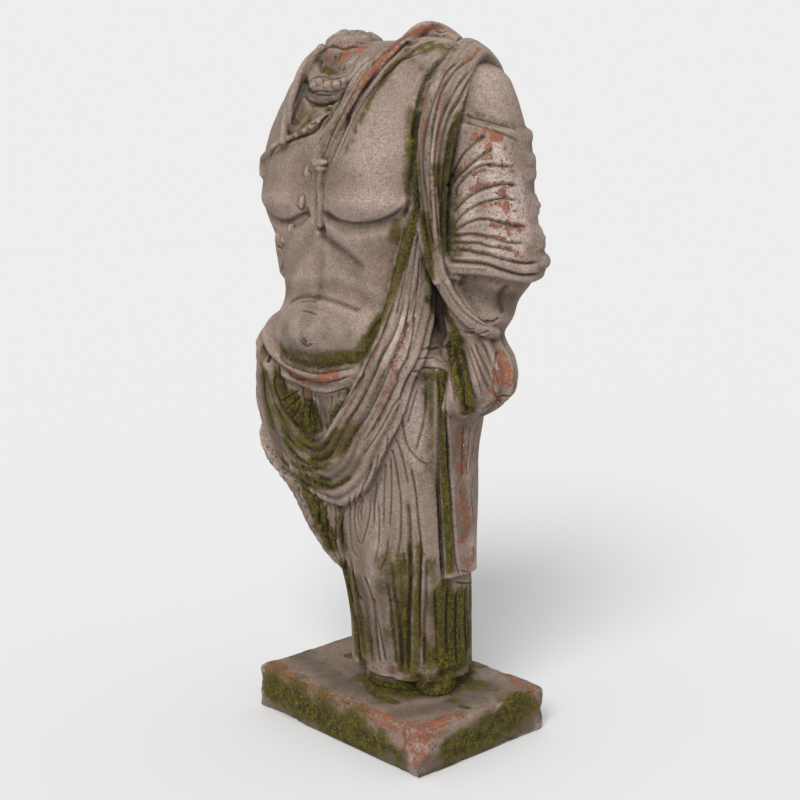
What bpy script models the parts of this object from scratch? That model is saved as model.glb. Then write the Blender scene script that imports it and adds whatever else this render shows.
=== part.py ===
"""Weathered stone torso of a draped standing figure on a rectangular plinth.

Metres, +Z up. The figure faces -Y, its left side is at +X, and the origin is the middle of the
plinth's underside. Forms of the figure are given in points, which are hundredths of its height,
measured from the middle of the plinth's top. An angle on the body or the arm is in degrees, 0 at
the front and growing towards the figure's left.
"""

import math

import bmesh
import bpy
import numpy as np
from mathutils import Vector, noise

# Driving dimensions
PLINTH_WIDTH = 0.357
PLINTH_DEPTH = 0.255
PLINTH_THICKNESS = 0.068
PLINTH_EDGE_RADIUS = 0.006
SEAT_GAP = 0.0003
FIGURE_HEIGHT = 0.932
STUB_RADIUS = 0.064
STUB_HEIGHT = 0.030
CORD_RADIUS = 0.0082
SHAWL_THICKNESS = 0.0075

# One point of the figure, and the level its foot stands on
POINT = FIGURE_HEIGHT / 100
FOOT_LEVEL = PLINTH_THICKNESS + SEAT_GAP

# Fineness of the figure's solid
COLUMNS = 240
LEVEL_STEP = 0.5
VOXEL = 0.5 * POINT
DECIMATE_RATIO = 0.076
GIRTH = 13.0

# Sections of the body: level, middle x and y, half width, depth to front and back, squareness
BODY_SECTIONS = [
    (2.2, 1.6, 1.3, 10.2, 8.0, 8.0, 2.3),
    (9.0, 1.6, 1.2, 10.2, 8.2, 8.0, 2.3),
    (14.0, 1.5, 0.9, 10.6, 8.6, 8.0, 2.3),
    (20.0, 1.2, 0.3, 11.3, 9.4, 8.2, 2.3),
    (25.0, 0.8, -0.4, 12.2, 9.6, 8.4, 2.3),
    (30.0, 0.4, -1.0, 13.2, 9.8, 8.8, 2.3),
    (35.6, -1.0, -1.8, 15.2, 10.2, 9.2, 2.3),
    (41.0, -2.6, -2.6, 17.2, 10.6, 9.6, 2.3),
    (46.0, -3.2, -3.2, 18.2, 11.0, 10.0, 2.3),
    (51.7, -3.0, -4.0, 17.6, 11.8, 9.6, 2.3),
    (54.4, -2.4, -4.6, 16.4, 12.2, 9.2, 2.3),
    (57.0, -1.6, -4.8, 14.6, 12.0, 8.8, 2.3),
    (61.4, -1.2, -5.0, 13.8, 10.8, 8.6, 2.3),
    (67.8, -1.4, -5.2, 15.4, 9.8, 8.8, 2.4),
    (71.9, -1.6, -5.3, 17.6, 9.6, 9.2, 2.5),
    (78.5, -1.4, -5.4, 19.0, 9.0, 9.8, 2.6),
    (83.9, -0.6, -5.6, 18.8, 8.6, 9.8, 2.6),
    (89.3, 0.0, -5.6, 16.4, 7.8, 9.2, 2.5),
    (92.5, 0.0, -5.6, 14.2, 6.8, 8.2, 2.4),
    (94.6, 0.2, -5.6, 11.6, 5.8, 7.2, 2.3),
    (96.2, 0.8, -5.2, 8.4, 4.4, 5.4, 2.2),
    (97.2, 1.4, -5.0, 5.0, 3.0, 3.6, 2.0),
]

# Sections of the left arm, from the hand's lower edge to the top of the shoulder
ARM_SECTIONS = [
    (44.6, 17.0, -2.4, 2.4, 3.6, 2.2, 2.2),
    (45.6, 17.4, -2.2, 3.8, 5.0, 3.0, 2.2),
    (47.4, 18.2, -1.6, 4.9, 6.0, 4.2, 2.2),
    (49.8, 18.6, -1.2, 5.2, 6.0, 4.4, 2.2),
    (53.0, 18.0, -0.8, 4.9, 5.4, 4.2, 2.2),
    (56.0, 17.0, -0.6, 3.8, 4.6, 3.8, 2.2),
    (58.9, 17.6, -0.4, 4.9, 5.2, 4.8, 2.2),
    (61.3, 17.9, 0.0, 5.4, 5.8, 5.6, 2.2),
    (63.5, 18.2, 0.2, 6.2, 6.4, 6.6, 2.2),
    (66.5, 18.6, 0.3, 6.6, 7.0, 7.2, 2.2),
    (71.6, 18.9, -0.2, 6.2, 6.6, 6.4, 2.2),
    (75.5, 18.8, -0.5, 5.9, 6.4, 6.0, 2.2),
    (79.6, 18.6, -0.6, 5.9, 6.3, 5.9, 2.2),
    (84.6, 17.6, -0.6, 6.1, 6.2, 6.0, 2.2),
    (87.8, 16.9, -0.6, 5.8, 5.8, 5.6, 2.2),
    (90.9, 16.4, -0.6, 5.3, 5.2, 5.0, 2.2),
    (92.8, 16.1, -0.6, 4.6, 4.5, 4.4, 2.2),
    (94.4, 15.6, -0.8, 3.4, 3.4, 3.2, 2.2),
    (95.3, 15.2, -1.0, 1.8, 1.8, 1.8, 2.2),
]

# Sections of the neck up to its break
NECK_SECTIONS = [
    (86.0, -2.0, -6.2, 7.4, 6.0, 6.0, 2.2),
    (90.5, -2.1, -6.8, 6.2, 5.4, 5.6, 2.2),
    (94.0, -2.1, -7.0, 4.8, 4.6, 5.0, 2.2),
    (96.5, -2.1, -7.0, 4.2, 4.0, 4.6, 2.2),
    (98.0, -2.2, -6.9, 3.6, 3.4, 4.0, 2.2),
    (98.8, -2.4, -6.8, 2.4, 2.2, 2.6, 2.2),
]

# Lines drawn over the body: angle and level along the line, half width, and height, below 0 cut
BODY_LINES = {
    "breast_left_crease": ([(17, 72.6), (35, 71.2), (51, 71.4), (64, 72.6), (74, 75.2)], 0.9, -0.75),
    "breast_right_crease": ([(-12, 73), (-24, 71.6), (-42, 71.2), (-58, 72.4), (-68, 75)], 0.9, -0.75),
    "breastbone": ([(3, 88), (4, 80), (5, 71)], 1.3, -0.55),
    "rib_arch_left": ([(5, 70.8), (20, 68.6), (37, 65.2), (46, 61.5)], 1.0, -0.4),
    "rib_arch_right": ([(5, 70.8), (-14, 68.4), (-33, 65), (-44, 62)], 1.0, -0.4),
    "middle_line": ([(5, 70), (5, 64), (5, 58)], 1.1, -0.3),
    "waist_crease": ([(-52, 60.2), (-30, 61.2), (-5, 61.8), (22, 62.4), (50, 60.6)], 1.1, -0.6),
    "collar": ([(-38, 93.2), (-22, 91.5), (3, 90.5), (25, 91), (44, 92.8)], 1.9, 1.0),
    "waistband": ([(-58, 57.4), (-44, 54.8), (-30, 52.8), (-8, 50.8), (19, 50.3), (44, 51.6)], 1.0, 1.15),
    "lower_band": ([(-52, 54.4), (-36, 51), (-8, 48.6), (19, 48.2), (40, 49.8)], 0.8, 0.7),
    "belt": ([(62, 52.4), (82, 52.4), (100, 51.6), (124, 51.2), (150, 51.8)], 1.7, 0.9),
    "thigh_fold": ([(62, 49), (64, 44), (67, 40.2), (76, 37.6)], 0.6, -0.5),
    "tail_groove": ([(79, 50), (76, 44), (74, 31.5), (73, 18)], 0.8, -1.1),
    "shoulder_crease": ([(90, 92), (77, 87), (71, 78), (72, 70), (80, 64)], 0.8, -1.2),
    "arm_beads": ([(-50, 69), (-56, 66.6), (-58, 63.8)], 0.9, 0.8),
    "strand": ([(-48, 82.2), (-30, 84.2), (-14, 85.6), (4, 87)], 0.7, 0.7),
    "arm_cord": ([(-47, 83), (-58, 81.6), (-69, 80.4), (-64, 78.4)], 0.7, 0.8),
    "pendant_cord": ([(4, 80), (4, 76), (4, 71.4)], 0.55, 0.8),
}

# Swells of the body: angle, level, half width, half height, and how far they stand out
BODY_SWELLS = {
    "breast_left": (52, 79.0, 6.2, 6.0, 1.5),
    "breast_left_foot": (50, 74.6, 5.8, 2.2, 1.2),
    "breast_right": (-44, 79.0, 5.6, 6.0, 1.3),
    "breast_right_foot": (-44, 74.6, 5.6, 2.2, 1.3),
    "belly": (10, 56.8, 6.4, 4.0, 1.3),
    "flank_left": (58, 58.0, 4.0, 3.4, 0.5),
    "navel": (5, 54.6, 0.7, 0.6, -0.7),
    "under_band": (-8, 43.6, 4.6, 3.2, -1.5),
    "thigh": (72, 43.0, 3.4, 7.0, 0.7),
    "knee": (28, 20.0, 3.6, 4.6, 1.2),
    "shin": (24, 11.0, 2.6, 5.0, 0.4),
    "seat_left": (150, 46.0, 5.5, 6.0, 0.9),
    "seat_right": (-150, 46.0, 5.5, 6.0, 0.9),
    "shoulder_blade_left": (140, 82.0, 4.5, 6.0, 0.8),
    "shoulder_blade_right": (-140, 82.0, 4.5, 6.0, 0.8),
    "backbone": (180, 74.0, 1.6, 14.0, -0.8),
}

# The sash: its upper and lower edges, from the left breast round the right hip and up the back
SASH_UPPER = [
    (71, 76), (66, 68.2), (57, 60), (48, 52.8), (33, 46.2), (8, 40.4), (-16, 38.8), (-38, 40.6),
    (-54, 45), (-70, 50.5), (-96, 58), (-126, 68), (-156, 79), (-184, 88), (-210, 94),
]
SASH_LOWER = [
    (76, 75.6), (87, 61), (81, 55.4), (71, 50.6), (60, 42.4), (34, 33.8), (-10, 29.4), (-40, 30.4),
    (-60, 34), (-78, 38), (-100, 43), (-128, 50), (-158, 60), (-190, 72), (-222, 82),
]
SASH_FOLDS = 6
SASH_DEPTH = 0.85
SASH_FOLD_HEIGHT = 0.8

# How far the drapery over the right hip stands out, by level, down to its broken edge
HIP_FALL = [
    (17.5, 0.0), (19.5, 1.6), (22, 2.6), (26, 3.6), (30, 4.5), (34, 6.2), (38, 5.6), (42, 4.2),
    (46, 2.4), (50, 0.8), (54, 0.0), (100, 0.0),
]
HIP_FALL_ANGLES = [(-180, 0.0), (-150, 0.35), (-112, 1.0), (-52, 1.0), (-30, 0.45), (-14, 0.0), (180, 0.0)]

# Tail of cloth under the left hand: its sides by angle and its lower end by level
TAIL_SIDES = (76, 114)
TAIL_END = 18.6
TAIL_LIFT = 1.3

# Pleats of the skirt: angle at the top, level of the top, angle at the hem
FRONT_PLEATS = [
    (-46, 20, -44), (-34, 20, -33), (-22, 27, -23), (-12, 28, -14), (-2, 27, -5), (8, 15, 4),
    (16, 30, 13), (34, 15, 30), (44, 31, 40), (52, 33, 50), (60, 34, 60), (66, 30, 67),
]
BACK_PLEATS = 9
BACK_PLEAT_SPAN = (124, 262)
BACK_PLEAT_TOP = 44
PLEAT_WIDTH = 0.75
PLEAT_DEPTH = 0.7

# Folds of the left sleeve: level on the outside, how far each dips to the front, and its height
SLEEVE_EDGE = 85.2
SLEEVE_FOLDS = [
    (82.4, 4.0, 0.35), (80.2, 5.5, 0.35), (77.8, 6.0, 0.4), (75.2, 5.5, 0.4), (72.8, 4.0, 0.35),
    (70.4, 2.5, 0.35), (68.0, 1.2, 0.4),
]

# Shawl over the left shoulder: middle of the folds from the back, over the top and down the front,
# with its half width
SHAWL = [
    (14.6, 6.6, 83.0, 3.0), (15.2, 5.8, 89.0, 2.8), (15.6, 3.4, 93.8, 2.5), (16.4, -0.6, 95.9, 2.2),
    (17.4, -4.5, 94.0, 2.2), (17.8, -7.7, 89.4, 2.6), (18.4, -9.9, 85.0, 2.6), (18.0, -10.6, 80.6, 2.5),
    (17.4, -10.4, 76.0, 2.3), (16.8, -9.6, 71.2, 2.0), (16.8, -8.4, 66.8, 1.7), (18.0, -7.2, 62.8, 1.4),
    (19.7, -5.9, 59.8, 1.2), (21.0, -3.6, 57.6, 1.0), (21.0, -0.8, 56.6, 0.8),
]
SHAWL_RIDGES = 5

# Cords over the chest: middle line of each
LEFT_CORD = [
    (11.4, 1.0, 97.0), (9.0, -0.6, 98.5), (8.3, -3.4, 98.3), (8.4, -7.0, 96.6), (8.6, -10.4, 94.2),
    (7.8, -12.2, 91.8), (6.3, -13.2, 89.4), (4.2, -13.9, 87.2), (1.9, -14.3, 84.8), (0.4, -14.5, 82.3),
    (-0.7, -14.4, 79.9),
]
RIGHT_CORD = [
    (-5.0, -9.0, 97.0), (-5.4, -11.4, 93.6), (-6.6, -12.8, 90.8), (-8.0, -13.4, 88.4),
    (-9.6, -13.9, 85.4), (-11.0, -14.0, 82.2),
]


def clear_scene():
    for obj in list(bpy.data.objects):
        bpy.data.objects.remove(obj, do_unlink=True)


def new_collection(name, hidden=False):
    collection = bpy.data.collections.new(name)
    bpy.context.scene.collection.children.link(collection)
    collection.hide_render = hidden
    return collection


def new_object(name, mesh, collection):
    obj = bpy.data.objects.new(name, mesh)
    collection.objects.link(obj)
    return obj


def stone(name, colour):
    material = bpy.data.materials.new(name)
    material.use_nodes = True
    shader = material.node_tree.nodes["Principled BSDF"]
    shader.inputs["Base Color"].default_value = (*colour, 1.0)
    shader.inputs["Roughness"].default_value = 0.92
    return material


def smooth_line(rows, steps):
    """Points along a smooth line through the rows, with this many steps between neighbours."""
    rows = np.asarray(rows, float)
    ends = np.vstack([2 * rows[0] - rows[1], rows, 2 * rows[-1] - rows[-2]])
    line = []
    for first in range(len(rows) - 1):
        a, b, c, d = ends[first : first + 4]
        for share in np.arange(steps) / steps:
            line.append(
                0.5 * (2 * b + (c - a) * share + (2 * a - 5 * b + 4 * c - d) * share**2
                       + (3 * b - a - 3 * c + d) * share**3)
            )
    line.append(rows[-1])
    return np.array(line)


def section_values(sections, level):
    """Middle, half width, depths and squareness at each level, eased between the sections."""
    sections = np.asarray(sections, float)
    levels = sections[:, 0]
    first = np.clip(np.searchsorted(levels, level) - 1, 0, len(levels) - 2)
    gap = levels[first + 1] - levels[first]
    share = np.clip((level - levels[first]) / gap, 0, 1)
    values = []
    for column in sections[:, 1:].T:
        slope = np.gradient(column, levels)
        values.append(
            (2 * share**3 - 3 * share**2 + 1) * column[first]
            + (share**3 - 2 * share**2 + share) * gap * slope[first]
            + (3 * share**2 - 2 * share**3) * column[first + 1]
            + (share**3 - share**2) * gap * slope[first + 1]
        )
    return values


def on_surface(sections, angle, level, lift):
    """Points in space on a lofted form, raised by the lift."""
    middle_x, middle_y, half, front, back, square = section_values(sections, level)
    turn = np.radians(angle)
    side = np.sin(turn)
    ahead = np.cos(turn)
    depth = np.where(ahead > 0, front, back)
    reach = ((np.abs(side) / half) ** square + (np.abs(ahead) / depth) ** square) ** (-1 / square)
    reach = np.maximum(reach + lift, 0.3)
    return np.stack([middle_x + reach * side, middle_y - reach * ahead, level], axis=-1)


def bump(distance):
    """Rounded profile, 1 in the middle and 0 at a distance of 1 and beyond."""
    return np.where(distance < 1, np.cos(np.minimum(distance, 1) * math.pi / 2) ** 2, 0)


def step_up(value):
    value = np.clip(value, 0, 1)
    return value * value * (3 - 2 * value)


def line_distance(line, angle, level, reach):
    """Distance in points over the body from each place to a line, and the nearest step of it."""
    distance = np.full(angle.shape, 99.0)
    nearest = np.zeros(angle.shape, int)
    scale = math.radians(1) * GIRTH
    for index in range(len(line) - 1):
        start_angle, start_level = line[index][:2]
        along = (line[index + 1][0] - start_angle) * scale
        rise = line[index + 1][1] - start_level
        close = np.abs(level - start_level) < reach + abs(rise)
        turn = (angle[close] - start_angle + 180) % 360 - 180
        across = turn * scale
        up = level[close] - start_level
        share = np.clip((across * along + up * rise) / (along**2 + rise**2 + 1e-9), 0, 1)
        found = np.hypot(across - share * along, up - share * rise)
        better = found < distance[close]
        distance[close] = np.where(better, found, distance[close])
        nearest[close] = np.where(better, index, nearest[close])
    return distance, nearest


def sash_relief(angle, level):
    """Nested folds between the sash's upper and lower edges."""
    upper = smooth_line(SASH_UPPER, 4)
    lower = smooth_line(SASH_LOWER, 4)
    scale = math.radians(1) * GIRTH
    spacing = np.hypot((upper - lower)[:, 0] * scale, (upper - lower)[:, 1]) / SASH_FOLDS
    lift = np.zeros(angle.shape)
    for fold in range(SASH_FOLDS):
        line = upper + (lower - upper) * (fold + 0.5) / SASH_FOLDS
        distance, nearest = line_distance(line, angle, level, 4)
        width = np.maximum(spacing[nearest], 0.5)
        shell = SASH_DEPTH * step_up((1.25 * width - distance) / (0.5 * width))
        crest = SASH_FOLD_HEIGHT * np.minimum(width / 1.4, 1) * bump(distance / (0.62 * width))
        lift = np.maximum(lift, shell + crest)
    return lift


def skirt_relief(angle, level):
    lift = np.zeros(angle.shape)
    pleats = [[(top_angle, top), (hem_angle, -2)] for top_angle, top, hem_angle in FRONT_PLEATS]
    start, end = BACK_PLEAT_SPAN
    for pleat in range(BACK_PLEATS):
        place = start + (end - start) * pleat / (BACK_PLEATS - 1)
        pleats.append([(place, BACK_PLEAT_TOP), (180 + (place - 180) * 0.92, -2)])
    for line in pleats:
        distance, _ = line_distance(line, angle, level, 2)
        fade = step_up((line[0][1] - level) / 6)
        lift -= PLEAT_DEPTH * fade * bump(distance / (1.6 * PLEAT_WIDTH))
    return lift


def body_relief(angle, level):
    """How far the carving stands above the plain body."""
    turned = (angle + 180) % 360 - 180
    lift = skirt_relief(angle, level)
    for middle_angle, middle_level, half_width, half_height, height in BODY_SWELLS.values():
        across = (turned - middle_angle + 180) % 360 - 180
        across = across * math.radians(1) * GIRTH / half_width
        lift += height * np.exp(-(across**2) - ((level - middle_level) / half_height) ** 2)
    for rows, width, height in BODY_LINES.values():
        distance, _ = line_distance(smooth_line(rows, 4), angle, level, width + 2)
        lift += height * bump(distance / (1.5 * width))
    fall = np.interp(level, *zip(*HIP_FALL)) * np.interp(turned, *zip(*HIP_FALL_ANGLES))
    ragged = 0.5 * np.sin(turned * 0.32) + 0.3 * np.sin(turned * 0.9 + 1)
    lift += fall * (1 + 0.12 * np.sin(turned * 0.5)) + 0.3 * ragged * (fall > 0.5) * (level < 36)
    left, right = TAIL_SIDES
    inside = step_up((turned - left) / 3) * step_up((right - turned) / 4)
    hang = 1 + 0.9 * step_up((level - 36) / 9)
    lift += TAIL_LIFT * hang * inside * step_up((level - TAIL_END) / 0.7) * step_up((54 - level) / 4)
    sash = sash_relief(angle, level)
    return np.where(sash > 0.05, np.maximum(sash, lift * 0.5 + sash), lift)


def arm_relief(angle, level):
    """Sleeve edge, the sleeve's swags and the folds over the hand."""
    turned = (angle + 180) % 360 - 180
    front = np.clip((75 - turned) / 110, 0, 1)
    edge = SLEEVE_EDGE + 1.2 * front
    lift = 0.45 * step_up((edge - level) / 0.8) * step_up((level - 60) / 4)
    for outside, dip, height in SLEEVE_FOLDS:
        fold = outside - dip * step_up(front)
        lift += height * bump(np.abs(level - fold) / 1.1)
    low = step_up((57 - level) / 2)
    lift += 0.3 * low * np.cos(np.radians(turned) * 11)
    return lift


def loft(name, sections, relief, columns, step):
    """Closed form with rings at even levels, one face strip between rings and a cap at each end."""
    levels = np.arange(sections[0][0], sections[-1][0] + step / 2, step)
    angles = np.arange(columns) * 360 / columns - 180
    angle, level = np.meshgrid(angles, levels)
    shape = angle.shape
    angle = angle.ravel()
    level = level.ravel()
    points = on_surface(sections, angle, level, relief(angle, level)) * POINT
    points[:, 2] += FOOT_LEVEL
    index = np.arange(shape[0] * columns).reshape(shape)
    beside = np.roll(index, -1, axis=1)
    quads = np.stack([index[:-1], beside[:-1], beside[1:], index[1:]], axis=-1).reshape(-1, 4)
    faces = quads.tolist()
    faces.append(index[0, ::-1].tolist())
    faces.append(index[-1].tolist())
    mesh = bpy.data.meshes.new(name)
    mesh.from_pydata(points.tolist(), [], faces)
    mesh.update()
    return mesh


def no_relief(angle, level):
    return np.zeros(angle.shape)


def space(row):
    """A row of points as a place in metres."""
    return Vector((row[0] * POINT, row[1] * POINT, row[2] * POINT + FOOT_LEVEL))


def shawl_mesh():
    """Ridged band swept over the shoulder, facing away from the middle of the upper arm."""
    line = smooth_line(SHAWL, 6)
    across_steps = 8 * SHAWL_RIDGES
    rings = []
    for index, row in enumerate(line):
        ahead = line[min(index + 1, len(line) - 1)][:3] - line[max(index - 1, 0)][:3]
        core = np.array([12.5, -1.0, min(row[2], 89.0)])
        if row[2] < 64:
            core = np.array([17.5, -0.5, row[2] + 2])
        out = row[:3] - core
        side = np.cross(ahead, out)
        side = side / np.linalg.norm(side)
        out = np.cross(side, ahead)
        out = out / np.linalg.norm(out)
        thick = SHAWL_THICKNESS / POINT
        ring = []
        for share in np.linspace(-1, 1, across_steps + 1):
            ridge = 0.78 + 0.22 * math.cos(share * SHAWL_RIDGES * math.pi)
            height = thick * ridge * (1 - share**4) ** 0.5 + 0.05
            ring.append(row[:3] + side * share * row[3] + out * height)
        for share in np.linspace(1, -1, 9):
            ring.append(row[:3] + side * share * row[3] - out * thick * 1.4)
        rings.append([space(point) for point in ring])
    count = len(rings[0])
    vertices = [point for ring in rings for point in ring]
    faces = []
    for ring in range(len(rings) - 1):
        for place in range(count):
            beside = (place + 1) % count
            first = ring * count
            faces.append((first + place, first + beside, first + count + beside, first + count + place))
    faces.append(tuple(reversed(range(count))))
    faces.append(tuple(range(len(vertices) - count, len(vertices))))
    mesh = bpy.data.meshes.new("shawl")
    mesh.from_pydata(vertices, [], faces)
    return mesh


def tube_mesh(name, line, radius):
    """Round bar along a line, closed at both ends."""
    curve = bpy.data.curves.new(name, "CURVE")
    curve.dimensions = "3D"
    curve.bevel_depth = radius
    curve.bevel_resolution = 3
    curve.use_fill_caps = True
    spline = curve.splines.new("POLY")
    spline.points.add(len(line) - 1)
    for point, place in zip(spline.points, line):
        point.co = (*place, 1.0)
    holder = bpy.data.objects.new(name, curve)
    bpy.context.scene.collection.objects.link(holder)
    bpy.context.view_layer.update()
    graph = bpy.context.evaluated_depsgraph_get()
    mesh = bpy.data.meshes.new_from_object(holder.evaluated_get(graph))
    bpy.data.objects.remove(holder, do_unlink=True)
    return mesh


def twisted_cord(name, rows, radius, turns):
    """Two strands wound round one middle line."""
    line = [space(row) for row in smooth_line(rows, 8)]
    meshes = []
    for strand in (0, math.pi):
        path = []
        for index, place in enumerate(line):
            ahead = (line[min(index + 1, len(line) - 1)] - line[max(index - 1, 0)]).normalized()
            side = ahead.cross(Vector((0, 0, 1))).normalized()
            up = side.cross(ahead)
            turn = strand + turns * 2 * math.pi * index / (len(line) - 1)
            path.append(place + (side * math.cos(turn) + up * math.sin(turn)) * radius * 0.62)
        meshes.append(tube_mesh(name, path, radius))
    return meshes


def rough_ball(name, middle, radii, roughness):
    """Lump of broken stone."""
    mesh = bpy.data.meshes.new(name)
    work = bmesh.new()
    bmesh.ops.create_icosphere(work, subdivisions=4, radius=1.0)
    for vertex in work.verts:
        way = vertex.co.normalized()
        swell = 1 + roughness * noise.noise(way * 2.4 + Vector((7.1, 3.3, 1.9)))
        vertex.co = Vector([way[axis] * radii[axis] * swell + middle[axis] for axis in range(3)])
        vertex.co = space(vertex.co)
    work.to_mesh(mesh)
    work.free()
    return mesh


def stub_mesh():
    """Round block under the hem that joins the figure to the plinth."""
    mesh = bpy.data.meshes.new("stub")
    work = bmesh.new()
    made = bmesh.ops.create_cone(
        work, cap_ends=True, segments=64, radius1=STUB_RADIUS, radius2=STUB_RADIUS * 0.94,
        depth=STUB_HEIGHT + 0.012,
    )
    middle = Vector((1.7 * POINT, 1.0 * POINT, FOOT_LEVEL + STUB_HEIGHT / 2 - 0.006))
    bmesh.ops.translate(work, verts=made["verts"], vec=middle)
    work.to_mesh(mesh)
    work.free()
    return mesh


def joined(name, meshes, collection):
    """One object holding every mesh, with the loose ends of tubes welded."""
    work = bmesh.new()
    for mesh in meshes:
        work.from_mesh(mesh)
    bmesh.ops.remove_doubles(work, verts=work.verts, dist=1e-6)
    bmesh.ops.recalc_face_normals(work, faces=work.faces)
    mesh = bpy.data.meshes.new(name)
    work.to_mesh(mesh)
    work.free()
    return new_object(name, mesh, collection)


def block(name, size, middle, collection):
    mesh = bpy.data.meshes.new(name)
    work = bmesh.new()
    bmesh.ops.create_cube(work, size=1.0)
    bmesh.ops.scale(work, verts=work.verts, vec=Vector(size))
    bmesh.ops.translate(work, verts=work.verts, vec=Vector(middle))
    work.to_mesh(mesh)
    work.free()
    return new_object(name, mesh, collection)


def settle(obj):
    """Fixes the object's modifiers into its mesh."""
    bpy.context.view_layer.update()
    graph = bpy.context.evaluated_depsgraph_get()
    mesh = bpy.data.meshes.new_from_object(obj.evaluated_get(graph))
    obj.modifiers.clear()
    obj.data = mesh


def keep_largest_shell(mesh):
    """Drops any loose crumb, so that the stone is one body."""
    work = bmesh.new()
    work.from_mesh(mesh)
    unseen = set(work.verts)
    shells = []
    while unseen:
        front = [unseen.pop()]
        shell = set(front)
        while front:
            vertex = front.pop()
            for edge in vertex.link_edges:
                other = edge.other_vert(vertex)
                if other in unseen:
                    unseen.discard(other)
                    shell.add(other)
                    front.append(other)
        shells.append(shell)
    largest = max(shells, key=len)
    crumbs = [vertex for shell in shells if shell is not largest for vertex in shell]
    bmesh.ops.delete(work, geom=crumbs, context="VERTS")
    work.to_mesh(mesh)
    work.free()


def figure(collection, cutters):
    """The carved figure as one solid, cut level where it stands."""
    meshes = [
        loft("body", BODY_SECTIONS, body_relief, COLUMNS, LEVEL_STEP),
        loft("arm", ARM_SECTIONS, arm_relief, COLUMNS // 2, LEVEL_STEP),
        loft("neck", NECK_SECTIONS, no_relief, COLUMNS // 3, LEVEL_STEP),
        shawl_mesh(),
        stub_mesh(),
        rough_ball("neck_break", (-2.2, -6.9, 97.6), (3.0, 3.0, 1.5), 0.4),
        rough_ball("right_shoulder", (-15.2, -3.2, 84.0), (5.2, 6.2, 7.4), 0.12),
        rough_ball("left_shoulder", (10.2, -3.0, 92.4), (7.6, 5.6, 5.8), 0.04),
    ]
    meshes += twisted_cord("left_cord", LEFT_CORD, CORD_RADIUS, 1.5)
    meshes.append(tube_mesh("right_cord", [space(row) for row in smooth_line(RIGHT_CORD, 6)], CORD_RADIUS))
    torso = joined("torso", meshes, collection)
    skin = torso.modifiers.new("one skin", "REMESH")
    skin.mode = "VOXEL"
    skin.voxel_size = VOXEL
    worn = torso.modifiers.new("worn", "SMOOTH")
    worn.factor = 0.5
    worn.iterations = 1
    lean = torso.modifiers.new("lean", "DECIMATE")
    lean.ratio = DECIMATE_RATIO
    settle(torso)
    keep_largest_shell(torso.data)
    below = block("below_foot", (1, 1, 0.2), (0, 0, FOOT_LEVEL - 0.1), cutters)
    below.display_type = "WIRE"
    below.hide_render = True
    level_cut = torso.modifiers.new("level foot", "BOOLEAN")
    level_cut.operation = "DIFFERENCE"
    level_cut.solver = "EXACT"
    level_cut.object = below
    torso.data.materials.clear()
    torso.data.materials.append(stone("carved stone", (0.33, 0.28, 0.24)))
    return torso


def plinth(collection):
    """Slab with worn edges and corners, flat where it rests and where the figure stands."""
    size = (PLINTH_WIDTH, PLINTH_DEPTH, PLINTH_THICKNESS)
    slab = block("plinth", size, (0, 0, PLINTH_THICKNESS / 2), collection)
    edges = slab.modifiers.new("worn edges", "BEVEL")
    edges.width = PLINTH_EDGE_RADIUS
    edges.segments = 3
    edges.limit_method = "ANGLE"
    settle(slab)
    slab.data.materials.clear()
    slab.data.materials.append(stone("plinth stone", (0.34, 0.26, 0.22)))
    return slab


def main():
    clear_scene()
    cutters = new_collection("cutters", hidden=True)
    collection = new_collection("stone_torso_statue")
    plinth(collection)
    figure(collection, cutters)


main()
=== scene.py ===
"""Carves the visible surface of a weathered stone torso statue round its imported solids.

Metres, +Z up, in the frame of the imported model. Forms of the figure are given in points, which are
hundredths of its height, measured from the middle of the plinth's top. An angle on the body or the
arm is in degrees, 0 at the front and growing towards the figure's left.
"""

import math
from itertools import product

import bmesh
import bpy
import numpy as np
from mathutils import Matrix, Vector
from mathutils.bvhtree import BVHTree


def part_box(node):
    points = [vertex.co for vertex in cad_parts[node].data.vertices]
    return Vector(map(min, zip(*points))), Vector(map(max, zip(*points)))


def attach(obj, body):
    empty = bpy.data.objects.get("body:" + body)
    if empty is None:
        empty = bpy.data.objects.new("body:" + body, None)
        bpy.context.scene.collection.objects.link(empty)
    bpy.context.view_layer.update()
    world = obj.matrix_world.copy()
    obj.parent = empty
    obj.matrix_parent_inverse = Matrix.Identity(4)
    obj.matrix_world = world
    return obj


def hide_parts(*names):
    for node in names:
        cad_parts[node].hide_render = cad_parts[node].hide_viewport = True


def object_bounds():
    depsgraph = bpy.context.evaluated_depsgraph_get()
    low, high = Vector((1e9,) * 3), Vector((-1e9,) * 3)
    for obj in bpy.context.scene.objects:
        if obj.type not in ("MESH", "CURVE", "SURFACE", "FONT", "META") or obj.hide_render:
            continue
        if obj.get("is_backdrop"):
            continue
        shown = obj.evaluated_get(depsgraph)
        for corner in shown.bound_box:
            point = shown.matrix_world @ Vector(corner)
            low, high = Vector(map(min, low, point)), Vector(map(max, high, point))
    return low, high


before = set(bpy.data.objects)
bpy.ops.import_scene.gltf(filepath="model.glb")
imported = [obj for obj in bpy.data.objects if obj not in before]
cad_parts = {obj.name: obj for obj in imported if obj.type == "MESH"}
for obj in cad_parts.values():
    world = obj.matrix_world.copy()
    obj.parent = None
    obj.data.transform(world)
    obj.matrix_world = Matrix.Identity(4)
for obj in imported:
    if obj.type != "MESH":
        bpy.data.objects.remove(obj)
CAD_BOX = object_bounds()
PLINTH_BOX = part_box("plinth")

bl_info = {
    "name": "Stone torso statue",
    "version": (1, 0, 0),
    "blender": (4, 5, 0),
    "location": "3D View > Sidebar > Statue",
    "description": "Carves a weathered stone torso and its plinth round the packed solids",
    "category": "Object",
}

# One point of the figure, the level its foot stands on and one millimetre, in metres
POINT = 0.00932
FOOT_LEVEL = 0.0683
MM = 0.001

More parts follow.
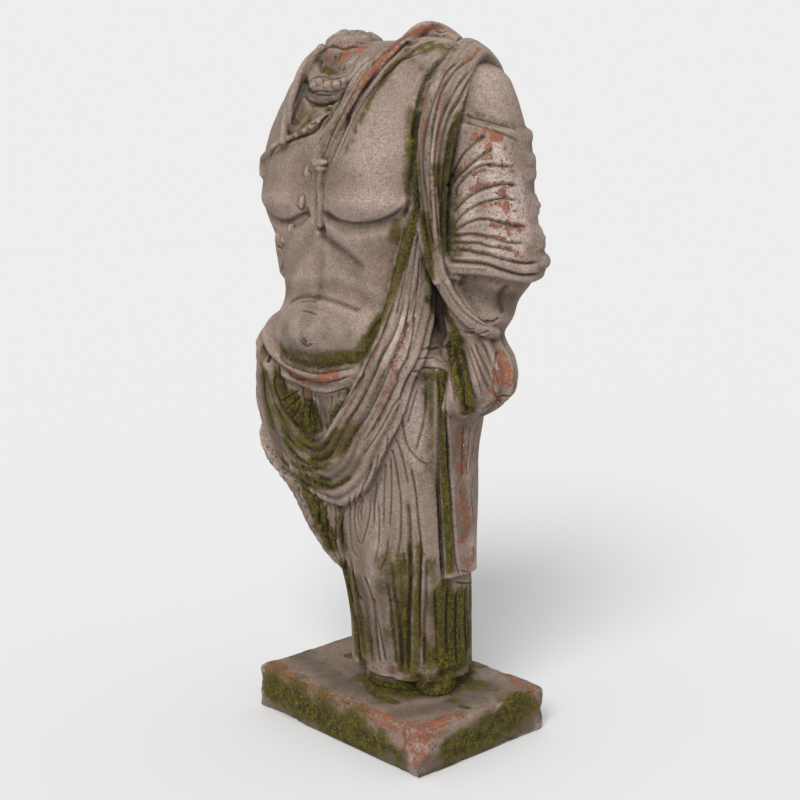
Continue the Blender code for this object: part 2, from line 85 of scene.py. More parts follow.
# Radius in points at which a width on the body is measured
GIRTH = 13.0

# Sections of the body: level, middle x and y, half width, depth to front and back, squareness
BODY_SECTIONS = [
    (2.2, 1.6, 1.3, 10.2, 8.0, 8.0, 2.3),
    (9.0, 1.6, 1.2, 10.2, 8.2, 8.0, 2.3),
    (14.0, 1.5, 0.9, 10.6, 8.6, 8.0, 2.3),
    (20.0, 1.2, 0.3, 11.3, 9.4, 8.2, 2.3),
    (25.0, 0.8, -0.4, 12.2, 9.6, 8.4, 2.3),
    (30.0, 0.4, -1.0, 13.2, 9.8, 8.8, 2.3),
    (35.6, -1.0, -1.8, 15.2, 10.2, 9.2, 2.3),
    (41.0, -2.6, -2.6, 17.2, 10.6, 9.6, 2.3),
    (46.0, -3.2, -3.2, 18.2, 11.0, 10.0, 2.3),
    (51.7, -3.0, -4.0, 17.6, 11.8, 9.6, 2.3),
    (54.4, -2.4, -4.6, 16.4, 12.2, 9.2, 2.3),
    (57.0, -1.6, -4.8, 14.6, 12.0, 8.8, 2.3),
    (61.4, -1.2, -5.0, 13.8, 10.8, 8.6, 2.3),
    (67.8, -1.4, -5.2, 15.4, 9.8, 8.8, 2.4),
    (71.9, -1.6, -5.3, 17.6, 9.6, 9.2, 2.5),
    (78.5, -1.4, -5.4, 19.0, 9.0, 9.8, 2.6),
    (83.9, -0.6, -5.6, 18.8, 8.6, 9.8, 2.6),
    (89.3, 0.0, -5.6, 16.4, 7.8, 9.2, 2.5),
    (92.5, 0.0, -5.6, 14.2, 6.8, 8.2, 2.4),
    (94.6, 0.2, -5.6, 11.6, 5.8, 7.2, 2.3),
    (96.2, 0.8, -5.2, 8.4, 4.4, 5.4, 2.2),
    (97.2, 1.4, -5.0, 5.0, 3.0, 3.6, 2.0),
]

# Sections of the left arm, from the hand's lower edge to the top of the shoulder
ARM_SECTIONS = [
    (44.6, 17.0, -2.4, 2.4, 3.6, 2.2, 2.2),
    (45.6, 17.4, -2.2, 3.8, 5.0, 3.0, 2.2),
    (47.4, 18.2, -1.6, 4.9, 6.0, 4.2, 2.2),
    (49.8, 18.6, -1.2, 5.2, 6.0, 4.4, 2.2),
    (53.0, 18.0, -0.8, 4.9, 5.4, 4.2, 2.2),
    (56.0, 17.0, -0.6, 3.8, 4.6, 3.8, 2.2),
    (58.9, 17.6, -0.4, 4.9, 5.2, 4.8, 2.2),
    (61.3, 17.9, 0.0, 5.4, 5.8, 5.6, 2.2),
    (63.5, 18.2, 0.2, 6.2, 6.4, 6.6, 2.2),
    (66.5, 18.6, 0.3, 6.6, 7.0, 7.2, 2.2),
    (71.6, 18.9, -0.2, 6.2, 6.6, 6.4, 2.2),
    (75.5, 18.8, -0.5, 5.9, 6.4, 6.0, 2.2),
    (79.6, 18.6, -0.6, 5.9, 6.3, 5.9, 2.2),
    (84.6, 17.6, -0.6, 6.1, 6.2, 6.0, 2.2),
    (87.8, 16.9, -0.6, 5.8, 5.8, 5.6, 2.2),
    (90.4, 16.4, -0.6, 5.3, 5.2, 5.0, 2.2),
    (92.1, 16.1, -0.6, 4.6, 4.5, 4.4, 2.2),
    (93.4, 15.6, -0.8, 3.4, 3.4, 3.2, 2.2),
    (94.1, 15.2, -1.0, 1.8, 1.8, 1.8, 2.2),
]

# Sections of the neck up to its break
NECK_SECTIONS = [
    (86.0, -2.0, -6.2, 7.4, 6.0, 6.0, 2.2),
    (90.5, -2.1, -6.8, 6.2, 5.4, 5.6, 2.2),
    (94.0, -2.1, -7.0, 4.8, 4.6, 5.0, 2.2),
    (96.5, -2.1, -7.0, 4.2, 4.0, 4.6, 2.2),
    (98.0, -2.2, -6.9, 3.6, 3.4, 4.0, 2.2),
    (98.8, -2.4, -6.8, 2.4, 2.2, 2.6, 2.2),
]

# Broad lines over the body: angle and level along the line, half width, and height, below 0 cut
BODY_LINES = {
    "breast_left_crease": ([(17, 72.6), (35, 71.2), (51, 71.4), (64, 72.6), (74, 75.2)], 0.9, -0.75),
    "breast_right_crease": ([(-12, 73), (-24, 71.6), (-42, 71.2), (-58, 72.4), (-68, 75)], 0.9, -0.75),
    "breastbone": ([(3, 88), (4, 80), (5, 71)], 1.3, -0.55),
    "rib_arch_left": ([(5, 70.8), (20, 68.6), (37, 65.2), (46, 61.5)], 1.6, -0.3),
    "rib_arch_right": ([(5, 70.8), (-14, 68.4), (-33, 65), (-44, 62)], 1.6, -0.25),
    "middle_line": ([(5, 70), (5, 64), (5, 58)], 1.6, -0.22),
    "waist_crease": ([(-52, 60.2), (-30, 61.2), (-5, 61.8), (22, 62.4), (50, 60.6)], 1.6, -0.6),
    "collar": ([(-38, 93.2), (-22, 91.5), (3, 90.5), (25, 91), (44, 92.8)], 1.9, 1.0),
    "waistband": ([(-58, 56.6), (-44, 53.8), (-30, 51.6), (-8, 49.8), (19, 49.4), (44, 50.8)], 1.1, 1.2),
    "lower_band": ([(-52, 53.4), (-36, 49.8), (-8, 47.6), (19, 47.4), (40, 49.2)], 0.8, 0.7),
    "belt": ([(62, 52.4), (82, 52.4), (100, 51.6), (124, 51.2), (150, 51.8)], 1.7, 0.9),
    "shoulder_crease": ([(90, 92), (77, 87), (71, 78), (72, 70), (80, 64)], 0.8, -1.2),
    "arm_beads": ([(-50, 69), (-56, 66.6), (-58, 63.8)], 0.9, 0.8),
    "strand": ([(-48, 82.2), (-30, 84.2), (-14, 85.6), (4, 87)], 0.6, 0.8),
    "arm_cord": ([(-47, 83), (-58, 81.6), (-69, 80.4), (-64, 78.4)], 0.7, 0.8),
    "pendant_cord": ([(4, 80), (4, 76), (4, 71.4)], 0.6, 0.8),
}

# Swells of the body: angle, level, half width, half height, and how far they stand out
BODY_SWELLS = {
    "breast_left": (52, 79.0, 6.2, 6.0, 1.5),
    "breast_left_foot": (50, 74.6, 5.8, 2.2, 1.2),
    "breast_right": (-44, 79.0, 5.6, 6.0, 1.3),
    "breast_right_foot": (-44, 74.6, 5.6, 2.2, 1.3),
    "belly": (10, 56.8, 6.4, 4.0, 1.3),
    "flank_left": (58, 58.0, 4.0, 3.4, 0.5),
    "navel": (5, 54.6, 0.7, 0.6, -0.7),
    "under_band": (-8, 43.6, 4.6, 3.2, -1.5),
    "thigh": (72, 43.0, 3.4, 7.0, 0.7),
    "knee": (28, 20.0, 3.6, 4.6, 1.2),
    "shin": (24, 11.0, 2.6, 5.0, 0.4),
    "seat_left": (150, 46.0, 5.5, 6.0, 0.9),
    "seat_right": (-150, 46.0, 5.5, 6.0, 0.9),
    "shoulder_blade_left": (140, 82.0, 4.5, 6.0, 0.8),
    "shoulder_blade_right": (-140, 82.0, 4.5, 6.0, 0.8),
    "backbone": (180, 74.0, 1.6, 14.0, -0.8),
}

# The sash: its upper and lower edges, from the left breast round the right hip and up the back
SASH_UPPER = [
    (71, 76), (66, 68.2), (57, 60), (48, 52.8), (33, 46.2), (8, 40.4), (-10, 38.9), (-23, 40.4),
    (-31, 44.6), (-33, 48.6), (-37, 50.8), (-45, 52.4), (-58, 54.2), (-82, 58.4), (-120, 68.5), (-156, 79),
    (-184, 88), (-210, 94),
]
SASH_LOWER = [
    (76, 75.6), (87, 61), (81, 55.4), (71, 50.6), (60, 42.4), (34, 33.8), (-2, 29.4), (-26, 29.8),
    (-44, 32.4), (-56, 36.4), (-65, 41), (-73, 45.4), (-84, 48.6), (-104, 51.4), (-130, 54.6), (-160, 62),
    (-190, 72), (-222, 82),
]

# Folds of the sash: middle of each from the upper to the lower edge, share of the width, height
SASH_FOLDS = [
    (0.06, 0.13, 0.9), (0.19, 0.14, 0.8), (0.355, 0.19, 0.95), (0.51, 0.13, 0.75), (0.635, 0.13, 0.8),
    (0.78, 0.17, 0.9), (0.935, 0.13, 0.6),
]

# How far the drapery over the right hip stands out, by level, down to its broken edge
HIP_FALL = [
    (17.5, 0.0), (19.5, 1.6), (22, 2.6), (26, 3.6), (30, 4.5), (34, 6.2), (38, 5.6), (42, 4.2),
    (46, 2.4), (50, 0.8), (54, 0.0), (100, 0.0),
]
HIP_FALL_ANGLES = [(-180, 0.0), (-150, 0.35), (-112, 1.0), (-52, 1.0), (-30, 0.45), (-14, 0.0), (180, 0.0)]

# Tail of cloth under the left hand: its sides by angle and its lower end by level
TAIL_SIDES = (76, 114)
TAIL_END = 18.6
TAIL_LIFT = 1.3

# Pleats of the skirt on the sides that hang free: angle and level of the top, angle at the hem, depth
SIDE_PLEATS = [
    (-46, 20, -44, 0.7), (-34, 20, -33, 0.7), (-58, 22, -56, 0.6), (-72, 24, -70, 0.6),
    (-88, 28, -86, 0.6), (114, 40, 111, 0.7),
]
BACK_PLEATS = 10
BACK_PLEAT_SPAN = (122, 264)
BACK_PLEAT_TOP = 45

# Folds of the left sleeve on the side away from the body: level, and how each drifts
SLEEVE_EDGE = 85.2
SLEEVE_FOLDS = [
    (83.4, -0.8, 0.3), (81.2, 0.6, 0.4), (78.4, -0.5, 0.35), (75.8, 0.8, 0.4), (73.4, -0.6, 0.4),
    (71.0, 0.4, 0.4), (68.9, -0.4, 0.45), (66.9, 0.3, 0.5),
]

# Lower lip of the sleeve at the elbow: angle round the arm and level
SLEEVE_LEDGE = [
    (-180, 64.8), (-60, 65.4), (0, 65.1), (26, 65.2), (46, 64.9), (67, 64.3), (98, 63.7), (140, 64.2),
    (180, 64.8),
]

# Shawl over the left shoulder: middle of the folds from the back, over the top and down the front,
# with its half width
SHAWL = [
    (14.6, 6.6, 83.0, 3.0), (15.2, 5.8, 89.0, 2.8), (15.6, 3.4, 93.8, 2.5), (16.4, -0.6, 95.9, 2.2),
    (17.4, -4.5, 94.0, 2.2), (17.8, -7.7, 89.4, 2.6), (18.4, -9.9, 85.0, 2.6), (18.0, -10.6, 80.6, 2.5),
    (17.4, -10.4, 76.0, 2.3), (16.8, -9.6, 71.2, 2.0), (16.8, -8.4, 66.8, 1.7), (18.0, -7.2, 62.8, 1.4),
    (19.7, -5.9, 59.8, 1.2), (21.0, -3.6, 57.6, 1.0), (21.0, -0.8, 56.6, 0.8),
]
SHAWL_RIDGES = 5

# Cord from the left shoulder to the clasp: its middle line
LEFT_CORD = [
    (11.4, 1.0, 97.0), (9.0, -0.6, 98.5), (8.3, -3.4, 98.3), (8.4, -7.0, 96.6), (8.6, -10.4, 94.2),
    (7.8, -12.2, 91.8), (6.3, -13.2, 89.4), (4.2, -13.9, 87.2), (1.9, -14.3, 84.8), (0.4, -14.5, 82.3),
    (-0.7, -14.4, 79.9),
]

# Sizes in metres, and the middle of the foot block in points
CORD_RADIUS = 0.0082
THIN_CORD_RADIUS = 0.0052
PENDANT_RADIUS = 0.0046
SHAWL_THICKNESS = 0.0075
PLINTH_STEP = 0.0019
STUB_RADIUS = 0.064
STUB_MIDDLE = (1.7, 1.0)

# Foot block from below upwards: height over the plinth in metres and share of its radius
STUB_RINGS = [(-0.01, 1.0), (0.0, 1.0), (0.012, 1.01), (0.018, 0.99), (0.03, 0.94), (0.036, 0.9)]

# Lumps joined to the figure: middle and half sizes in points, and how rough each is
LUMPS = {
    "neck_break": ((-2.2, -6.9, 97.6), (3.0, 3.0, 1.5), 0.4),
    "right_shoulder_break": ((-15.2, -3.2, 84.0), (5.2, 6.2, 7.4), 0.12),
    "left_shoulder": ((10.2, -3.0, 92.4), (7.3, 5.6, 5.2), 0.04),
    "mound_by_the_foot": ((8.5, -0.2, 0.9), (3.0, 3.6, 3.7), 0.3),
    "throat": ((-4.0, -10.3, 94.8), (1.5, 1.5, 1.7), 0.1),
}

# Noise: how far its seeds lie apart, and the factors that mix a cell's place with the seed
SEED_STEP = 7.31
CELL_FACTORS = (73856093, 19349663, 83492791)
SEED_FACTOR = 2654435
MIX_FACTOR = 1274126177

# Half width in metres of a line one millimetre wide, and the turn that spreads rays evenly
LINE_HALF = 0.00064
EVEN_TURN = 2.39996

# Colours that the finish adds to its own
RUST = (0.14, 0.062, 0.036)
WORN_DARK = (0.12, 0.05, 0.028)
LIME = (0.72, 0.68, 0.66)


def in_points(rows, unit):
    """Half width, strength or depth, and places in points, from rows of whole numbers.

    Half widths and places are written in tenths, strengths and depths in parts of the unit.
    """
    return [(row[0] / 10, row[1] / unit, np.reshape(row[2:], (-1, 3)) / 10) for row in rows]


# Lines carved into the skin: width and depth in tenths of a millimetre, places in tenths of a point
CARVED_LINES = in_points([
    # Torn rim of the neck and the cracks in it
    (28, 28, -36, -109, 961, -17, -110, 965, 1, -107, 961, 16, -95, 964, 38, -92, 963),
    (45, 30, -39, -116, 946, -34, -122, 937, -22, -127, 928),
    (18, 16, 36, -107, 951, 36, -118, 938, 42, -129, 924),
    (18, 14, 19, -109, 951, 16, -118, 939, 19, -124, 928),
    (16, 12, -2, -110, 954, -6, -114, 946),
    # Collar
    (24, 22, -45, -134, 916, -24, -131, 924, 3, -131, 920, 31, -131, 920),
    (24, 22, -57, -132, 905, -36, -135, 900, -14, -139, 897, 12, -140, 896, 36, -139, 901),
    (32, 42, -61, -134, 898, -44, -135, 888, -17, -137, 882, 4, -134, 884, 30, -138, 890),
    (16, 16, -41, -133, 920, -55, -131, 912, -50, -131, 904, -32, -137, 907),
    # Cord from the right shoulder
    (18, 16, -79, -150, 830, -98, -150, 826, -125, -143, 813, -137, -139, 798),
    (26, 30, -79, -150, 829, -58, -148, 836, -41, -145, 840, -21, -143, 847, -7, -142, 859, 12, -138, 874),
    (16, 14, -78, -149, 837, -50, -148, 848, -27, -145, 855, -9, -144, 865, 13, -136, 884),
    # Strap over the left shoulder
    (31, 48, 64, -109, 946, 52, -127, 929, 43, -136, 912, 30, -138, 892, 9, -138, 866, 5, -154, 837, -24,
     -145, 806),
    (22, 26, 95, -51, 983, 90, -88, 964, 84, -118, 942, 74, -134, 922, 62, -145, 895, 45, -151, 865, 20,
     -150, 834, 3, -151, 806),
    (35, 55, 101, -14, 984, 103, -67, 969, 97, -104, 944, 88, -122, 924, 76, -134, 901, 64, -140, 880, 46,
     -144, 853, 30, -146, 826, 15, -146, 802),
    (20, 18, 133, -72, 952, 109, -86, 945, 101, -108, 928, 88, -124, 907, 73, -133, 887, 59, -139, 864, 48,
     -145, 839, 34, -147, 812),
    # Ornament on the breast
    (17, 19, -34, -146, 794, -28, -146, 785, -31, -147, 772),
    (17, 19, -39, -150, 757, -37, -150, 746, -46, -150, 734, -53, -154, 741),
    (15, 15, -52, -150, 728, -65, -148, 720, -82, -142, 709),
    # Ends of the strap
    (24, 30, 104, -3, 986, 101, -12, 984, 96, -17, 987),
    (24, 30, 165, -41, 960, 155, -42, 963, 146, -45, 967),
    # Breasts, ribs and belly
    (60, 12, -2, -148, 741, 13, -145, 726, 48, -147, 720, 78, -142, 719, 108, -135, 724, 133, -128, 735,
     145, -125, 746),
    (50, 12, -126, -138, 722, -99, -142, 716, -65, -148, 720, -44, -147, 728, -21, -149, 726),
    (100, 5, -14, -143, 703, 12, -145, 693, 43, -145, 679, 66, -141, 665, 76, -137, 651),
    (70, 12, -76, -155, 595, -52, -155, 607, -14, -158, 612, 27, -159, 611, 58, -152, 604, 79, -144, 597),
    (22, 10, -38, -163, 602, -20, -163, 606, 0, -162, 606),
    (22, 9, -21, -171, 591, -6, -170, 590, 15, -173, 588),
    (24, 22, -19, -174, 543, -7, -174, 541, 7, -176, 546),
    # End of the right upper arm
    (30, 24, -121, -137, 678, -111, -135, 671, -114, -132, 654, -126, -126, 638),
    # Shawl
    (60, 60, 161, -60, 947, 150, -73, 931, 148, -90, 906, 155, -110, 864, 160, -120, 821, 163, -119, 779,
     161, -115, 746, 159, -108, 710),
    (24, 32, 168, -60, 944, 151, -75, 923, 154, -96, 889, 161, -112, 856, 168, -120, 813, 169, -115, 761,
     168, -107, 719, 168, -97, 685),
    (24, 32, 182, -47, 943, 174, -72, 925, 174, -91, 897, 176, -108, 864, 175, -116, 829, 174, -117, 796,
     176, -111, 753, 175, -104, 720, 173, -92, 678),
    (24, 30, 188, -31, 945, 182, -63, 927, 178, -84, 901, 182, -101, 870, 184, -111, 837, 182, -113, 796,
     180, -109, 754, 176, -99, 706),
    (24, 30, 193, -39, 932, 191, -66, 908, 190, -87, 881, 191, -104, 850, 189, -109, 814, 187, -107, 767,
     184, -100, 727, 180, -90, 685),
    (34, 40, 196, -45, 920, 198, -71, 889, 197, -89, 868, 197, -102, 839, 195, -106, 814, 192, -106, 779,
     189, -99, 740, 184, -89, 699),
    # Sleeve and elbow
    (70, 50, 204, -85, 860, 204, -96, 833, 201, -99, 800, 196, -98, 767, 189, -93, 733, 183, -87, 692),
    (40, 60, 182, -86, 685, 183, -79, 657, 189, -75, 644, 196, -68, 627, 203, -61, 612, 211, -50, 595),
    (20, 16, 177, -86, 646, 185, -79, 627, 196, -72, 612, 206, -62, 603),
    (26, 28, 201, -74, 874, 205, -58, 864, 218, -49, 860, 228, -36, 856, 236, -16, 851, 241, 0, 844),
    (24, 16, 199, -64, 859, 215, -57, 852, 230, -45, 847, 240, -27, 840, 245, -6, 832),
    (31, 34, 228, -51, 839, 223, -58, 835, 216, -64, 827, 204, -71, 815, 195, -77, 801, 184, -75, 785),
    (33, 44, 238, -46, 823, 233, -54, 816, 224, -64, 808, 209, -71, 795, 191, -74, 780, 196, -97, 771),
    (29, 34, 250, -17, 797, 245, -41, 799, 235, -54, 800, 222, -64, 796, 209, -71, 784, 196, -75, 771, 191,
     -89, 752),
    (33, 39, 252, -13, 772, 250, -30, 774, 242, -49, 772, 225, -65, 764, 205, -73, 751, 187, -82, 734),
    (26, 31, 255, -11, 752, 249, -35, 755, 236, -54, 752, 219, -68, 743, 199, -74, 729, 187, -77, 716),
    (29, 34, 256, 3, 717, 254, -21, 718, 247, -45, 724, 232, -60, 728, 215, -71, 723, 190, -77, 711),
    (31, 36, 258, -1, 694, 253, -30, 696, 245, -48, 701, 225, -66, 707, 207, -73, 706, 186, -79, 703),
    (29, 36, 260, -15, 682, 250, -38, 688, 239, -54, 691, 228, -65, 695, 210, -72, 695, 186, -79, 695),
    (33, 44, 255, 24, 667, 256, -9, 667, 250, -39, 674, 240, -55, 680, 227, -64, 682, 210, -71, 685, 184,
     -80, 684),
    (37, 57, 250, 29, 652, 253, -7, 652, 246, -38, 660, 232, -57, 667, 208, -71, 669, 184, -80, 670),
    (30, 20, 249, 11, 637, 247, -24, 643, 235, -48, 649, 216, -63, 652, 193, -69, 651),
    (80, 16, 245, -20, 634, 234, -19, 615, 227, -7, 594),
    # Wrist and hand
    (30, 30, 213, -47, 594, 218, -36, 586, 219, -24, 584, 224, -15, 589),
    (24, 22, 186, -50, 569, 198, -43, 568, 212, -40, 569, 219, -31, 573),
    (26, 34, 204, -31, 556, 215, -32, 542, 227, -35, 525, 235, -36, 509),
    (24, 28, 198, -47, 552, 211, -49, 535, 222, -48, 515, 231, -43, 490),
    (24, 24, 200, -38, 555, 213, -41, 537, 226, -41, 517, 234, -40, 500),
    (34, 42, 186, -53, 547, 203, -60, 521, 217, -65, 498, 220, -55, 474),
    (34, 40, 176, -56, 550, 194, -64, 518, 206, -68, 488, 206, -60, 459),
    (26, 24, 217, -10, 544, 228, -28, 530, 234, -36, 513, 235, -39, 492, 228, -23, 473),
    (22, 20, 216, -43, 461, 229, -35, 473, 233, -16, 480, 226, 12, 483),
    # Belt and waistband
    (24, 28, 147, -93, 545, 147, -76, 545, 145, -52, 544, 172, -57, 548),
    (20, 22, 147, -103, 532, 151, -90, 532, 152, -72, 532, 179, -62, 536),
    (28, 32, 142, -107, 513, 147, -92, 515, 158, -81, 517, 183, -66, 524),
    (30, 40, -89, -167, 531, -78, -161, 510, -45, -161, 502, -4, -164, 504, 34, -160, 511, 68, -153, 518),
    (22, 28, -90, -157, 504, -78, -155, 493, -65, -151, 485, -37, -152, 484, -2, -152, 488, 33, -152, 495,
     64, -150, 505),
    (26, 30, -101, -156, 501, -93, -149, 484, -77, -143, 469),
    (26, 32, -34, -140, 468, 1, -144, 471, 47, -145, 482),
    (22, 26, -57, -142, 474, -64, -137, 461, -66, -133, 448),
    (22, 26, -36, -145, 476, -48, -134, 461, -55, -127, 447),
    (18, 22, -39, -135, 462, -48, -125, 443, -48, -123, 420),
    (22, 26, -27, -136, 461, -33, -125, 440, -33, -124, 419),
    # Hollow under the waistband
    (18, 20, -67, -140, 465, -86, -142, 455, -106, -146, 444),
    (18, 20, -70, -137, 455, -87, -140, 441, -99, -144, 428),
    (18, 20, -71, -135, 446, -80, -137, 429, -89, -140, 415),
    (18, 20, -67, -132, 443, -69, -133, 424, -69, -136, 406),
    (18, 20, -58, -128, 442, -60, -127, 425, -57, -129, 407),
    (18, 20, 10, -142, 468, 2, -137, 451, -15, -129, 434),
    (16, 16, 30, -143, 476, 21, -140, 464),
    # Skirt
    (28, 26, 104, -119, 418, 102, -115, 404, 100, -100, 373, 99, -89, 325, 94, -82, 289, 89, -79, 253, 83,
     -80, 227),
    (30, 26, 125, -111, 457, 119, -102, 429, 119, -94, 403, 125, -85, 387, 129, -78, 379, 129, -61, 373),
    (26, 30, 118, -87, 372, 118, -81, 352, 117, -74, 326, 112, -65, 290, 108, -55, 238, 102, -51, 188, 96,
     -45, 120, 93, -42, 39),
    (25, 22, 88, -122, 392, 80, -119, 364, 71, -113, 342, 58, -103, 304, 52, -100, 266),
    (22, 19, 93, -117, 385, 78, -101, 332, 69, -95, 269),
    (22, 17, 98, -110, 387, 91, -99, 347, 85, -94, 308, 78, -90, 272),
    (28, 24, 76, -123, 376, 66, -124, 355, 52, -121, 331, 32, -106, 296, 29, -102, 273),
    (25, 22, 30, -125, 321, 7, -108, 288, 0, -100, 256, -1, -93, 223, 9, -90, 212),
    (22, 20, 43, -125, 328, 22, -111, 299, 13, -103, 270, 15, -99, 244, 25, -98, 235),
    (20, 18, 47, -121, 325, 27, -107, 295, 22, -103, 273, 26, -101, 261),
    (44, 36, 107, -80, 317, 104, -74, 285, 101, -70, 257, 94, -63, 189, 83, -56, 119, 79, -52, 37),
    (42, 28, 110, -47, 223, 106, -43, 188, 104, -40, 154, 99, -39, 119, 97, -37, 34),
    (44, 30, 71, -90, 190, 62, -73, 134, 60, -63, 82, 61, -58, 44),
    (46, 32, 31, -79, 153, 32, -68, 109, 42, -65, 43),
    (42, 36, -10, -88, 209, -12, -76, 154, 4, -72, 129, 8, -66, 86, 12, -63, 35),
    (36, 32, -22, -89, 206, -39, -66, 143, -25, -65, 94, -20, -61, 32),
    (22, 20, 52, -106, 311, 46, -103, 284, 33, -97, 252, 25, -98, 235),
    (22, 18, 66, -103, 313, 62, -97, 266, 60, -98, 238, 52, -98, 209),
    (22, 15, 75, -91, 255, 73, -93, 228, 63, -96, 203),
    (25, 20, 109, -110, 411, 110, -98, 392, 111, -90, 364, 111, -84, 341),
    # Tail of cloth under the hand
    (36, 50, 164, -77, 514, 162, -72, 463, 146, -58, 384, 133, -43, 316, 126, -31, 244, 119, -19, 178),
    (26, 32, 171, -69, 513, 180, -78, 473, 166, -60, 413, 153, -41, 349, 146, -27, 285, 139, -13, 220, 126,
     3, 185),
    (20, 18, 182, -71, 510, 192, -74, 490, 195, -72, 473),
    (26, 30, 123, 4, 178, 121, 23, 171, 111, 49, 164),
    (18, 14, 138, -5, 202, 136, 17, 194),
    (22, 20, 167, 1, 426, 161, 1, 403, 154, 5, 369),
    # Skirt above the hem
    (28, 18, 122, 5, 165, 119, 7, 113, 118, 11, 51),
    (22, 14, 121, 26, 160, 116, 31, 94, 114, 38, 56),
    (22, 16, 112, -32, 171, 109, -26, 118, 108, -22, 65),
    # Drapery over the right hip
    (30, 40, -54, -117, 294, -58, -112, 268, -77, -95, 229),
    (30, 40, -15, -119, 296, -28, -106, 265, -36, -96, 222),
    (26, 30, -33, -120, 295, -45, -108, 262, -48, -101, 232),
    (24, 26, -72, -123, 301, -83, -112, 279, -86, -104, 257),
    (24, 24, -93, -125, 319, -103, -114, 297, -98, -112, 280),
    (24, 30, -3, -115, 295, -18, -101, 258, -23, -93, 219),
    # Sash
    (30, 36, 163, -117, 761, 145, -115, 731, 130, -118, 689, 116, -121, 644, 109, -127, 611, 102, -138, 580,
     90, -146, 554),
    (28, 24, 121, -119, 614, 115, -137, 567, 101, -147, 534, 75, -147, 497, 51, -147, 466, 27, -145, 442),
    (28, 24, 128, -108, 614, 125, -125, 567, 116, -138, 539, 92, -140, 495, 67, -141, 459, 42, -143, 429),
    (28, 24, 134, -98, 627, 133, -111, 567, 128, -128, 532, 105, -131, 489, 80, -134, 448, 54, -138, 416),
    (26, 22, 137, -88, 627, 138, -103, 558, 132, -120, 514, 112, -124, 471, 87, -128, 431, 61, -133, 398),
    (24, 20, 146, -104, 528, 130, -113, 490, 110, -121, 449, 87, -127, 413, 62, -130, 383),
    (20, 16, 149, -110, 705, 135, -108, 663, 127, -111, 628, 124, -120, 589),
    (22, 18, 156, -109, 712, 139, -100, 663, 131, -102, 613, 132, -112, 572),
    (18, 14, 153, -100, 684, 138, -91, 641, 135, -94, 599, 139, -105, 551),
    # Gaps between the beads
    (14, 20, -29, -134, 920, -25, -137, 913, -23, -139, 904),
    (14, 20, -12, -133, 919, -7, -137, 912, -4, -140, 903),
    (14, 20, 8, -134, 916, 13, -139, 909, 15, -141, 902),
    (14, 20, 25, -133, 918, 29, -137, 912, 32, -139, 905),
    (20, 26, -41, -133, 920, -19, -131, 922, 8, -132, 918, 32, -130, 922),
    (20, 26, -47, -132, 901, -13, -140, 902, 14, -141, 900, 39, -138, 904),
    # Finer lines of the folds
    (28, 34, -113, -149, 488, -108, -146, 453, -92, -141, 422, -71, -137, 406),
    (24, 22, 180, -83, 644, 190, -76, 619, 202, -66, 600, 213, -51, 586, 219, -30, 576),
    (20, 18, 173, -85, 635, 161, -55, 604, 187, -57, 587, 210, -48, 575),
    (24, 30, 208, -30, 552, 223, -33, 534, 235, -33, 513, 237, -29, 496),
    (18, 18, 192, -49, 550, 210, -56, 530, 222, -56, 506, 225, -49, 483),
    (20, 20, 172, -19, 430, 161, -11, 390, 154, -6, 346),
    (20, 20, 174, -35, 432, 160, -23, 384, 154, -15, 345),
    (18, 16, 151, 10, 348, 148, 11, 309, 140, 24, 267),
    (50, 30, 18, -88, 185, 25, -78, 145, 25, -65, 77, 31, -64, 40),
    (42, 22, 79, -87, 222, 74, -74, 155, 70, -60, 88, 70, -56, 42),
    (28, 20, 121, -13, 169, 117, -11, 117, 116, -7, 63),
    (30, 14, 141, -80, 492, 139, -79, 455, 135, -82, 423, 125, -84, 392),
    (24, 12, 138, -91, 488, 134, -97, 464, 123, -98, 434),
    (34, 45, -145, -141, 515, -142, -144, 472, -140, -141, 432, -111, -146, 398),
    (32, 40, -116, -156, 522, -129, -145, 481, -114, -147, 444, -96, -143, 416),
], 10)

